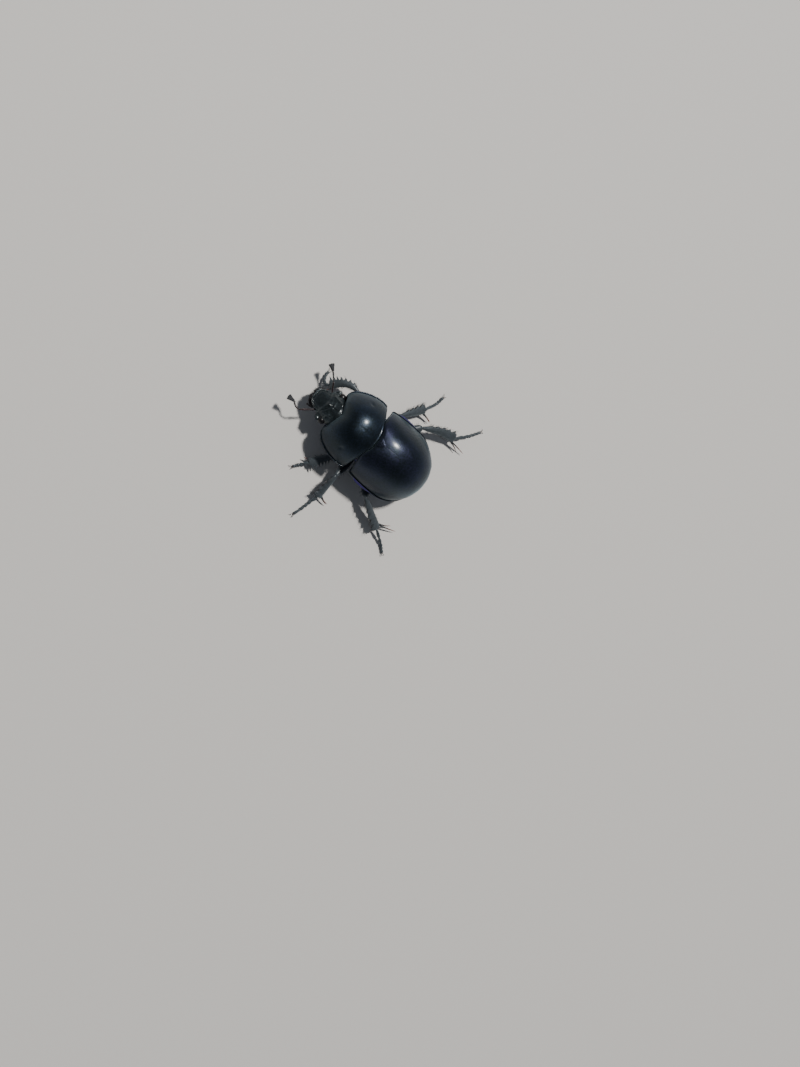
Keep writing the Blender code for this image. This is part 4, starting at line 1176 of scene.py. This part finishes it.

# ---------------------------------------------------------------------------------------------
# Legs. Six strong jointed legs of matt dark chitin, coloured a slate grey that is partly painted
# reflection of the sky: a coxa set into the breast, a small trochanter, a flattened thigh and a
# shin that broadens to its end. The fore shins carry a row of digging teeth, the others short
# notched ridges, and long spurs stand at their ends.
LEGS = {
    "fore_left": [(1.7, -3.0, 1.75), (3.6, -1.3, 2.3), (6.4, -3.2, 1.0)],
    "fore_right": [(-1.7, -3.0, 1.75), (-3.88, -3.95, 2.9), (-3.98, -5.05, 2.6),
                   (-3.62, -6.02, 2.2), (-3.1, -6.62, 1.85), (-2.5, -7.1, 1.5)],
    "middle_left": [(2.1, 0.7, 1.6), (5.7, 0.0, 2.7), (9.1, 0.2, 1.1)],
    "middle_right": [(-2.0, 1.05, 1.5), (-5.2, 2.28, 2.5), (-8.05, 4.82, 1.1)],
    "hind_left": [(2.3, 3.3, 1.6), (5.5, 4.7, 2.6), (7.7, 9.1, 1.2)],
    "hind_right": [(-2.3, 3.3, 1.6), (-5.7, 5.4, 2.5), (-6.95, 7.9, 1.98), (-7.7, 10.4, 1.2)],
}
COXA_INNER = {"fore": (0.5, -2.8, 1.95), "middle": (0.55, 0.5, 1.7), "hind": (0.5, 3.4, 1.85)}
COXA_RADIUS = {"fore": 0.66, "middle": 0.58, "hind": 0.54}
TOOTH_SIDE = {
    "fore_left": (0.3, 1.0, 0.2), "fore_right": (-1.0, -0.3, 0.2),
    "middle_left": (0.0, -1.0, 0.5), "middle_right": (0.0, -1.0, 0.5),
    "hind_left": (1.0, -0.6, 0.5), "hind_right": (-1.0, -0.6, 0.5),
}
# Half width, half thickness, number of teeth and height of the last tooth of the shins
SHINS = {"fore": (0.54, 0.28, 7, 0.5), "middle": (0.58, 0.31, 4, 0.30),
         "hind": (0.61, 0.33, 5, 0.30)}
THIGHS = {"fore": (0.74, 0.44), "middle": (0.54, 0.42), "hind": (0.80, 0.47)}
THIGH_SHAPE = [(0.0, 0.5), (0.12, 0.74), (0.4, 1.0), (0.65, 0.94), (0.88, 0.66), (1.0, 0.45)]


def limb_axes(start, end):
    """The way a straight limb points, its broad side and its lift."""
    direction = (end - start).normalized()
    side = (Vector((0, 1, 0)) - direction * direction.y).normalized()
    return direction, side, direction.cross(side)


def coxa_rings(kind, side):
    """The rounded joint that carries a leg, from the middle of the body to the hip."""
    inner, hip = to_side((COXA_INNER[kind], LEGS[kind + "_left"][0]), side)
    direction, across_limb, lift = limb_axes(inner, hip)
    rings = []
    for step in range(29):
        s = step / 28
        body = math.sqrt(max(0.02, 1.0 - (2 * s - 1.05) ** 2)) if s < 0.98 else 0.35
        reach = COXA_RADIUS[kind] * (0.35 + 0.72 * body)
        centre = inner.lerp(hip + direction * 0.15, s)
        rough = 1.0 + 0.05 * noise.noise(centre * 2.2)
        rings.append(oval(centre, across_limb, lift, reach * 1.05 * rough, reach * rough))
    return rings


def thigh_rings(leg):
    """Trochanter and thigh: a small bead at the hip, then a flat spindle with a blunt keel."""
    width, thickness = THIGHS[leg.split("_")[0]]
    hip, knee = (Vector(point) for point in LEGS[leg][:2])
    direction, across_limb, lift = limb_axes(hip, knee)
    rings = []
    for step in range(49):
        s = step / 48
        centre = hip.lerp(knee + direction * 0.10, s)
        form = through(THIGH_SHAPE, s)
        form *= 1.0 - 0.16 * bump_at(s, 0.16, 0.03)
        form *= min(1.0, 0.55 + 14.0 * (1.0 - s))
        ring = []
        for turn in circle_turns(24):
            keel = 0.05 * bump_at(math.cos(turn), 1.0, 0.12) * bump_at(s, 0.5, 0.3)
            dent = 0.02 * noise.noise(Vector((s * 9.0, math.cos(turn) * 2.0, math.sin(turn) * 2.0)))
            ring.append(centre + across_limb * width * form * (math.cos(turn) + keel)
                        + lift * thickness * form * (math.sin(turn) + dent))
        rings.append(ring)
    return rings


def tooth_out(t, teeth, height):
    """How far the outer edge of a shin stands out: hooked teeth that grow to the end."""
    place = (t - 0.16) / 0.80 * teeth
    if place < 0.0 or place >= teeth:
        return 0.0
    number = int(place)
    phase = place - number
    grown = height * (0.25 + 0.75 * (number + 1) / teeth)
    rise = smoothstep(0.05, 0.68, phase) if phase < 0.68 else 1.0 - smoothstep(0.68, 0.92, phase)
    return grown * rise


def shin_rings(leg):
    """The shin, broader towards its end, with its toothed or ridged outer edge."""
    kind = leg.split("_")[0]
    width, thickness, teeth, height = SHINS[kind]
    points = LEGS[leg][1:]
    rings = []
    for step in range(141):
        t = step / 140
        centre, _, side, lift = frame_at(points, t, TOOTH_SIDE[leg])
        broad = smoothstep(0.0, 0.25, t)
        half = 0.22 + (width * (0.55 + 0.5 * t) - 0.22) * broad
        thick = 0.2 + (thickness * (0.8 + 0.25 * t) - 0.2) * broad
        close = min(1.0, 0.45 + 12.0 * t, 0.5 + 16.0 * (1.0 - t))
        out = tooth_out(t, teeth, height)
        ring = []
        for turn in circle_turns(26):
            edge = max(0.0, math.cos(turn)) ** (7 if kind == "fore" else 3)
            ridge = 0.0
            if kind != "fore":
                ridge = 0.05 * math.cos(2 * math.pi * (t - 0.16) / 0.8 * teeth) ** 5
                ridge *= max(0.0, math.sin(turn + 0.6)) * broad
            seam = -0.03 * bump_at(math.cos(turn), 0.35, 0.12) * (math.sin(turn) > 0)
            ring.append(centre
                        + side * (half * close * math.cos(turn) + out * edge)
                        + lift * (thick * close * (math.sin(turn) + seam + ridge)
                                  - 0.25 * out * edge * math.sin(turn)))
        rings.append(ring)
    return rings


# The slate grey of these leg colours is lighter than the dark chitin itself: it is partly painted
# reflection of the sky.
leg_material = chitin("leg_chitin", deep=(0.036, 0.043, 0.048), sheen=(0.060, 0.070, 0.080),
                      roughness=0.5, metallic=0.25, coat=0.2, coat_roughness=0.25, pits=4.5,
                      pit_depth=0.9, grain=10.0, grain_depth=0.8, relief=0.02, coat_relief=0.6)
for leg in LEGS:
    kind, side_name = leg.split("_")
    for piece, node, rings, sharp in (
            ("_coxa_joint", "coxa", coxa_rings(kind, SIDES[side_name]), 50.0),
            ("_thigh", "femur", thigh_rings(leg), 50.0),
            ("_shin", "tibia", shin_rings(leg), 55.0)):
        limb = ring_skin(leg + piece, rings, leg_material, "leg", sharp=sharp)
        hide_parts("%s_%s_%s" % (kind, node, side_name))

# ---------------------------------------------------------------------------------------------
# Spurs. Movable spines at the end of each shin, slightly bent, horny and dark with red-brown
# see-through tips. One on each fore shin, two on the others.
# ---------------------------------------------------------------------------------------------
SPUR_RADIUS = 0.13
SPUR_TIPS = {
    "fore_left": [(6.3, -4.05, 0.8)],
    "fore_right": [(-1.65, -7.1, 1.25)],
    "middle_left": [(9.15, 1.95, 0.5), (9.05, 1.98, 0.75)],
    "middle_right": [(-7.35, 6.67, 0.5), (-7.22, 6.5, 0.7)],
    "hind_left": [(6.4, 11.66, 0.6), (6.26, 10.56, 0.8)],
    "hind_right": [(-7.06, 12.92, 0.6), (-6.7, 11.92, 0.6)],
}
SPUR_RINGS = 25
SPUR_COUNT = 12

spur_material, tree, shader, _ = new_material("spur_horn", {"Roughness": 0.35, "Coat Weight": 0.3})
tint = add_node(tree, "ShaderNodeAttribute", attribute_name="tint")
horn = add_node(tree, "ShaderNodeValToRGB", {"Fac": tint.outputs["Fac"]})
horn.color_ramp.elements[0].color = (0.022, 0.024, 0.028, 1.0)
horn.color_ramp.elements[1].color = (0.17, 0.035, 0.016, 1.0)
horn.color_ramp.elements[0].position = 0.35
tree.links.new(horn.outputs["Color"], shader.inputs["Base Color"])


def spike_rings(bend, radius, flatness, taper, ring_count, count, hint=UP):
    """A bent spike that narrows to a blunt tip."""
    rings = []
    for step in range(ring_count):
        s = step / (ring_count - 1)
        place, _, flat, lift = frame_at(bend, s, hint)
        reach = radius * (1.0 - 0.8 * s ** taper) * (0.7 if step == 0 else 1.0)
        rings.append(oval(place, flat, lift, reach, reach * flatness, count))
    return rings


for leg, tips in SPUR_TIPS.items():
    bm = bmesh.new()
    tints = []
    for number, tip in enumerate(tips):
        centre, ahead, side, _ = frame_at(LEGS[leg][1:], 0.95 - 0.05 * number, TOOTH_SIDE[leg])
        width = SHINS[leg.split("_")[0]][0]
        root = centre - side * width * 0.75 - ahead * 0.02
        middle = root.lerp(Vector(tip), 0.5) + ahead * (0.03 + 0.12 * number)
        add_loft(bm, spike_rings([root, middle, Vector(tip)], SPUR_RADIUS, 0.75, 1.8, SPUR_RINGS,
                                 SPUR_COUNT, (0.2, 0.1, 1.0)))
        tints += [step / (SPUR_RINGS - 1) for step in range(SPUR_RINGS) for _ in range(SPUR_COUNT)]
    finish_piece(leg + "_spurs", bm, spur_material, "leg", tints=tints)

# ---------------------------------------------------------------------------------------------
# Feet. Each has five slim joints like inverted cones, the first and last longest, and ends in
# two curved pointed claws that hold the floor.
# ---------------------------------------------------------------------------------------------
FEET = {
    "fore_left": [(6.4, -3.2, 1.0), (7.3, -3.9, 0.45), (7.9, -4.3, 0.26)],
    "fore_right": [(-2.5, -7.1, 1.5), (-2.35, -7.45, 1.15), (-2.75, -7.82, 0.7), (-3.5, -7.93, 0.4),
                   (-3.85, -7.86, 0.26)],
    "middle_left": [(9.1, 0.2, 1.1), (10.1, 0.05, 0.7), (11.2, -0.2, 0.4), (12.5, -0.62, 0.24)],
    "middle_right": [(-8.0, 4.8, 1.1), (-9.7, 5.9, 0.4), (-10.95, 6.22, 0.24)],
    "hind_left": [(7.7, 9.1, 1.2), (8.8, 11.1, 0.4), (9.6, 12.05, 0.24)],
    "hind_right": [(-7.7, 10.4, 1.2), (-9.5, 12.3, 0.4), (-10.8, 13.28, 0.24)],
}
JOINT_ENDS = (0.0, 0.27, 0.45, 0.61, 0.76, 1.0)
JOINT_RADIUS = 0.205
JOINT_OVERLAP = 0.015
CLAW_LENGTH = 0.66
CLAW_RADIUS = 0.06
CLAW_SPREAD = 24.0

claw_material = new_material("claw_horn", {
    "Base Color": (0.030, 0.018, 0.014, 1.0), "Roughness": 0.3, "Coat Weight": 0.4})[0]
for leg, points in FEET.items():
    kind, side_name = leg.split("_")
    bm = bmesh.new()
    for start, end in zip(JOINT_ENDS, JOINT_ENDS[1:]):
        radius = JOINT_RADIUS * (0.92 if end == 1.0 else 1.0 - 0.1 * start)
        add_loft(bm, bead_rings(points, max(0.0, start - JOINT_OVERLAP), end, radius, slim=0.66,
                                steps=14, count=16))
    finish_piece(leg + "_foot", bm, leg_material, "leg", "%s_tarsus_%s" % (kind, side_name))
    end, ahead, _, _ = frame_at(points, 1.0, UP)
    heading = Vector((ahead.x, ahead.y, 0.0)).normalized()
    root = end - heading * 0.06
    bm = bmesh.new()
    for spread_angle in (-CLAW_SPREAD, CLAW_SPREAD):
        turned = Matrix.Rotation(math.radians(spread_angle), 3, "Z") @ heading
        tip = root + turned * CLAW_LENGTH - heading * 0.04
        bend = [root, root + turned * CLAW_LENGTH * 0.55 + UP * 0.07, Vector((tip.x, tip.y, 0.02))]
        add_loft(bm, spike_rings(bend, CLAW_RADIUS, 0.8, 1.5, 21, 10))
    finish_piece(leg + "_claws", bm, claw_material, "leg")

# ---------------------------------------------------------------------------------------------
# Bristles of the legs. Stiff dark hairs stand in rows along the edges of thighs and shins, a
# comb of short stout spines rings the end of each shin and every joint of the feet ends in a
# pair of them. Each is a bent three-sided cone grown on its root by one node tree.
# ---------------------------------------------------------------------------------------------
PATCH = 0.003
HAIR_SEGMENTS = 4


def hair_tree():
    """Node tree that grows one bent tapering hair on each root point."""
    tree = bpy.data.node_groups.new("grow_hairs", "GeometryNodeTree")
    face = tree.interface
    for name, kind in (("Roots", "Geometry"), ("Slenderness", "Float"), ("Bend", "Float"),
                       ("Seed", "Int"), ("Material", "Material")):
        face.new_socket(name, in_out="INPUT", socket_type="NodeSocket" + kind)
    face.new_socket("Hairs", in_out="OUTPUT", socket_type="NodeSocketGeometry")
    given = add_node(tree, "NodeGroupInput").outputs
    cone = add_node(tree, "GeometryNodeMeshCone", {
        "Vertices": 3, "Side Segments": HAIR_SEGMENTS, "Radius Top": 0.12, "Radius Bottom": 1.0,
        "Depth": 1.0}, fill_type="NGON")
    place = add_node(tree, "GeometryNodeInputPosition")
    parts = add_node(tree, "ShaderNodeSeparateXYZ", {"Vector": place.outputs["Position"]})
    squared = add_node(tree, "ShaderNodeMath", {0: parts.outputs["Z"], 1: parts.outputs["Z"]},
                       operation="MULTIPLY")
    push = add_node(tree, "ShaderNodeMath", {0: squared.outputs["Value"], 1: given["Bend"]},
                    operation="MULTIPLY")
    offset = add_node(tree, "ShaderNodeCombineXYZ", {"X": push.outputs["Value"]})
    local = add_node(tree, "ShaderNodeCombineXYZ", {"X": parts.outputs["X"],
                                                    "Y": parts.outputs["Z"]})
    marked = add_node(tree, "GeometryNodeStoreNamedAttribute", {
        "Geometry": cone.outputs["Mesh"], "Name": "local", "Value": local.outputs["Vector"]},
        data_type="FLOAT_VECTOR", domain="POINT")
    bent = add_node(tree, "GeometryNodeSetPosition", {"Geometry": marked.outputs["Geometry"],
                                                      "Offset": offset.outputs["Vector"]})
    aim = add_node(tree, "GeometryNodeInputNamedAttribute", {"Name": "aim"},
                   data_type="FLOAT_VECTOR")
    reach = add_node(tree, "GeometryNodeInputNamedAttribute", {"Name": "reach"},
                     data_type="FLOAT")
    pointed = add_node(tree, "FunctionNodeAlignRotationToVector", {
        "Vector": aim.outputs["Attribute"]}, axis="Z")
    spin = add_node(tree, "FunctionNodeRandomValue", {"Seed": given["Seed"]}, data_type="FLOAT")
    spin.inputs[3].default_value = 2 * math.pi
    turned = add_node(tree, "FunctionNodeAxisAngleToRotation", {"Angle": spin.outputs[1]})
    facing = add_node(tree, "FunctionNodeRotateRotation", {
        "Rotation": pointed.outputs["Rotation"], "Rotate By": turned.outputs["Rotation"]},
        rotation_space="LOCAL")
    thick = add_node(tree, "ShaderNodeMath", {0: reach.outputs["Attribute"],
                                              1: given["Slenderness"]}, operation="MULTIPLY")
    size = add_node(tree, "ShaderNodeCombineXYZ", {
        "X": thick.outputs["Value"], "Y": thick.outputs["Value"],
        "Z": reach.outputs["Attribute"]})
    hairs = add_node(tree, "GeometryNodeInstanceOnPoints", {
        "Points": given["Roots"], "Instance": bent.outputs["Geometry"],
        "Rotation": facing.outputs["Rotation"], "Scale": size.outputs["Vector"]})
    real = add_node(tree, "GeometryNodeRealizeInstances", {
        "Geometry": hairs.outputs["Instances"]})
    stored_local = add_node(tree, "GeometryNodeInputNamedAttribute", {"Name": "local"},
                            data_type="FLOAT_VECTOR")
    stored_root = add_node(tree, "GeometryNodeInputNamedAttribute", {"Name": "root_uv"},
                           data_type="FLOAT_VECTOR")
    small = add_node(tree, "ShaderNodeVectorMath", {0: stored_local.outputs["Attribute"],
                                                    "Scale": PATCH}, operation="SCALE")
    patch = add_node(tree, "ShaderNodeVectorMath", {0: stored_root.outputs["Attribute"],
                                                    1: small.outputs["Vector"]}, operation="ADD")
    baked = add_node(tree, "GeometryNodeStoreNamedAttribute", {
        "Geometry": real.outputs["Geometry"], "Name": "OFBake",
        "Value": patch.outputs["Vector"]}, data_type="FLOAT2", domain="CORNER")
    smooth = add_node(tree, "GeometryNodeSetShadeSmooth", {"Geometry": baked.outputs["Geometry"]})
    painted = add_node(tree, "GeometryNodeSetMaterial", {
        "Geometry": smooth.outputs["Geometry"], "Material": given["Material"]})
    add_node(tree, "NodeGroupOutput", {"Hairs": painted.outputs["Geometry"]})
    return tree


growing = hair_tree()


def grow(name, roots, material, slenderness, bend, seed):
    """Hairs on roots, each a place, an aim, a length and a place on the unwrapped skin."""
    mesh = bpy.data.meshes.new(name + "_roots")
    mesh.from_pydata([placed(root[0]) for root in roots], [], [])
    for key, kind, values in (("aim", "FLOAT_VECTOR", [root[1].normalized() for root in roots]),
                              ("root_uv", "FLOAT_VECTOR", [(*root[3], 0.0) for root in roots])):
        mesh.attributes.new(key, kind, "POINT").data.foreach_set(
            "vector", [component for value in values for component in value])
    mesh.attributes.new("reach", "FLOAT", "POINT").data.foreach_set(
        "value", [root[2] * MM for root in roots])
    source = bpy.data.objects.new(name + "_roots", mesh)
    bpy.context.scene.collection.objects.link(source)
    modifier = source.modifiers.new("hairs", "NODES")
    modifier.node_group = growing
    inputs = {item.name: item.identifier for item in growing.interface.items_tree
              if item.in_out == "INPUT"}
    modifier[inputs["Slenderness"]] = slenderness
    modifier[inputs["Bend"]] = bend
    modifier[inputs["Seed"]] = seed
    modifier[inputs["Material"]] = material
    evaluated = source.evaluated_get(bpy.context.evaluated_depsgraph_get())
    grown = bpy.data.meshes.new_from_object(evaluated)
    grown.name = name
    hairs = bpy.data.objects.new(name, grown)
    bpy.context.scene.collection.objects.link(hairs)
    source.modifiers.clear()
    bpy.data.objects.remove(source)
    for attribute in ("local", "root_uv", "aim", "reach"):
        if attribute in grown.attributes:
            grown.attributes.remove(grown.attributes[attribute])
    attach(hairs, "root")
    return hairs


def jitter(amount):
    """A nudge of up to the amount along each axis."""
    return Vector((dice.uniform(-1, 1), dice.uniform(-1, 1), dice.uniform(-1, 1))) * amount


def ring_roots(rings, count, span, turns, reach, lean, cell):
    """Roots scattered over a limb: between two places of it, within some turns around it."""
    total = len(rings[0])
    roots = []
    for _ in range(count):
        at = dice.uniform(*span) * (len(rings) - 2)
        i = int(at)
        turn = dice.choice(turns) + dice.uniform(-18.0, 18.0)
        k = int(round(turn / 360.0 * total)) % total
        point = rings[i][k].lerp(rings[i + 1][k], at - i)
        middle = sum(rings[i], Vector()) / total
        ahead = (sum(rings[i + 1], Vector()) / total - middle).normalized()
        outward = (point - middle).normalized()
        aim = outward * (1.0 - lean) + ahead * lean + jitter(0.16)
        length = dice.uniform(*reach)
        tip_height = point.z + aim.normalized().z * length
        if tip_height < 0.05:
            aim.z += (0.05 - tip_height) / length
        roots.append((point - outward * 0.02, aim, length,
                      (cell[0] + 0.14 * at / len(rings), cell[1] + 0.14 * k / total)))
    return roots


hair_material = new_material("dark_hair", {
    "Base Color": (0.020, 0.016, 0.015, 1.0), "Roughness": 0.45, "Specular IOR Level": 0.4})[0]
dice = random.Random(4177)
edge_roots = []
spine_roots = []
for number, leg in enumerate(LEGS):
    short = not leg.startswith("fore")
    thigh = thigh_rings(leg)
    shin = shin_rings(leg)
    column = 0.01 + 0.16 * number
    cell = (column, 0.02)
    edge_roots += ring_roots(thigh, 60, (0.25, 0.97), (0, 180), (0.3, 0.62), 0.4, cell)
    edge_roots += ring_roots(thigh, 25, (0.3, 0.97), (90, 270), (0.12, 0.25), 0.7, cell)
    cell = (column, 0.2)
    edge_roots += ring_roots(shin, 105 if short else 46, (0.08, 0.97), (0, 20, 340), (0.28, 0.62),
                             0.45, cell)
    edge_roots += ring_roots(shin, 55, (0.15, 0.97), (180,), (0.25, 0.5), 0.5, cell)
    edge_roots += ring_roots(shin, 40, (0.1, 0.95), (60, 90, 120, 240, 300), (0.12, 0.26), 0.75,
                             cell)
    cell = (column, 0.38)
    spine_roots += ring_roots(shin, 16, (0.955, 0.99), (0, 60, 120, 180, 240, 300), (0.16, 0.34),
                              0.85, cell)
    if short:
        spine_roots += ring_roots(shin, 26, (0.35, 0.96), (0, 30, 330), (0.14, 0.28), 0.6, cell)
    cell = (column, 0.56)
    for start, end in zip(JOINT_ENDS, JOINT_ENDS[1:]):
        joint = bead_rings(FEET[leg], max(0.0, start - JOINT_OVERLAP), end, JOINT_RADIUS,
                           steps=14, count=16)
        if end < 1.0:
            spine_roots += ring_roots(joint, 7, (0.84, 0.93), (0, 90, 180, 270), (0.12, 0.24), 0.8,
                                      cell)
        edge_roots += ring_roots(joint, 6, (0.3, 0.9), (90, 270), (0.12, 0.28), 0.6, cell)
grow("leg_bristles", edge_roots, hair_material, 0.028, 0.16, 3)
grow("leg_spines", spine_roots, spur_material, 0.085, 0.08, 5)

# ---------------------------------------------------------------------------------------------
# Hairs of the body. A fringe of dark hair lines the mouth, the front of the head and the lower
# edge of the pronotum, and longer rusty hair covers the coxae, the breast and the belly plates.
# ---------------------------------------------------------------------------------------------
rusty_material = new_material("rusty_hair", {
    "Base Color": (0.055, 0.028, 0.016, 1.0), "Roughness": 0.5})[0]
dice = random.Random(9021)
body_roots = []
for number, (kind, side) in enumerate((kind, side) for kind in COXA_INNER for side in (1, -1)):
    body_roots += ring_roots(coxa_rings(kind, side), 150, (0.1, 0.95), range(0, 360, 45),
                             (0.3, 0.6), 0.25, (0.01 + 0.16 * number, 0.74))


def belly_roots(count, low, high, floor_of, edge_of, half_of, reach):
    """Roots over the rounded lower skin of the trunk."""
    roots = []
    for _ in range(count):
        y = dice.uniform(low, high)
        u = dice.uniform(-0.93, 0.93)
        depth = edge_of(y) - (edge_of(y) - floor_of(y)) * superellipse(u, VENTER_ROUNDNESS)
        aim = Vector((u * 1.1, 0.9, -1.0 + 0.8 * abs(u))) + jitter(0.2)
        roots.append((Vector((half_of(y) * u, y, depth)), aim, dice.uniform(*reach),
                      (0.02 + 0.9 * (u + 1.0) / 2.0, 0.90 + 0.08 * (y - low) / (high - low))))
    return roots


body_roots += belly_roots(420, -4.4, -0.4, breast_floor, breast_edge, breast_half_width,
                          (0.35, 0.7))
body_roots += belly_roots(420, 0.4, 3.3, thorax_floor, trunk_edge, thorax_half_width, (0.35, 0.7))
body_roots += belly_roots(520, 3.7, 8.2, belly_floor, trunk_edge, belly_half_width, (0.25, 0.5))
grow("underside_hair", body_roots, rusty_material, 0.022, 0.2, 7)

fringe_roots = []
for number in range(170):
    turn = math.radians(dice.uniform(-70.0, 70.0))
    point = on_head((1.25 * math.sin(turn), -7.35 - 1.0 * math.cos(turn), 2.84))
    aim = Vector((math.sin(turn) * 0.8, -math.cos(turn), -0.15 + dice.uniform(-0.25, 0.2)))
    fringe_roots.append((point, aim, dice.uniform(0.12, 0.3), (0.1 + 0.0008 * number, 0.72)))
for number in range(150):
    u = dice.uniform(-0.75, 0.75)
    point = on_head((LABRUM_HALF_WIDTH * u, LABRUM_FRONT + 0.10 + 0.3 * u ** 4,
                     LABRUM_HEIGHT - 0.1))
    aim = Vector((u * 0.4 + dice.uniform(-0.2, 0.2), -1.0, dice.uniform(-0.4, 0.15)))
    fringe_roots.append((point, aim, dice.uniform(0.14, 0.32), (0.3 + 0.0008 * number, 0.72)))
for number in range(420):
    side = dice.choice((-1, 1))
    y = dice.uniform(-5.0, -0.7)
    margin = pronotum_margin(y) - 0.12
    point = Vector((side * (pronotum_half_width(y) - 0.22), y + pronotum_shift(1.0, y), margin))
    aim = Vector((side * 0.75, dice.uniform(-0.5, 0.2), -0.7 + dice.uniform(-0.3, 0.3)))
    fringe_roots.append((point, aim, dice.uniform(0.25, 0.5), (0.45 + 0.0008 * number, 0.71)))
for side in SIDES.values():
    for points, _, radius in PALPS.values():
        points = palp_points(points, side)
        for _ in range(26):
            centre, ahead, flat, up = frame_at(points, dice.uniform(0.15, 0.97), UP)
            turn = dice.uniform(0.0, 2 * math.pi)
            outward = flat * math.cos(turn) + up * math.sin(turn)
            fringe_roots.append((centre + outward * radius * 0.7, outward + ahead * 0.8,
                                 dice.uniform(0.1, 0.2), (0.82 + turn * 0.01, 0.72)))
grow("dark_fringes", fringe_roots, hair_material, 0.03, 0.15, 11)
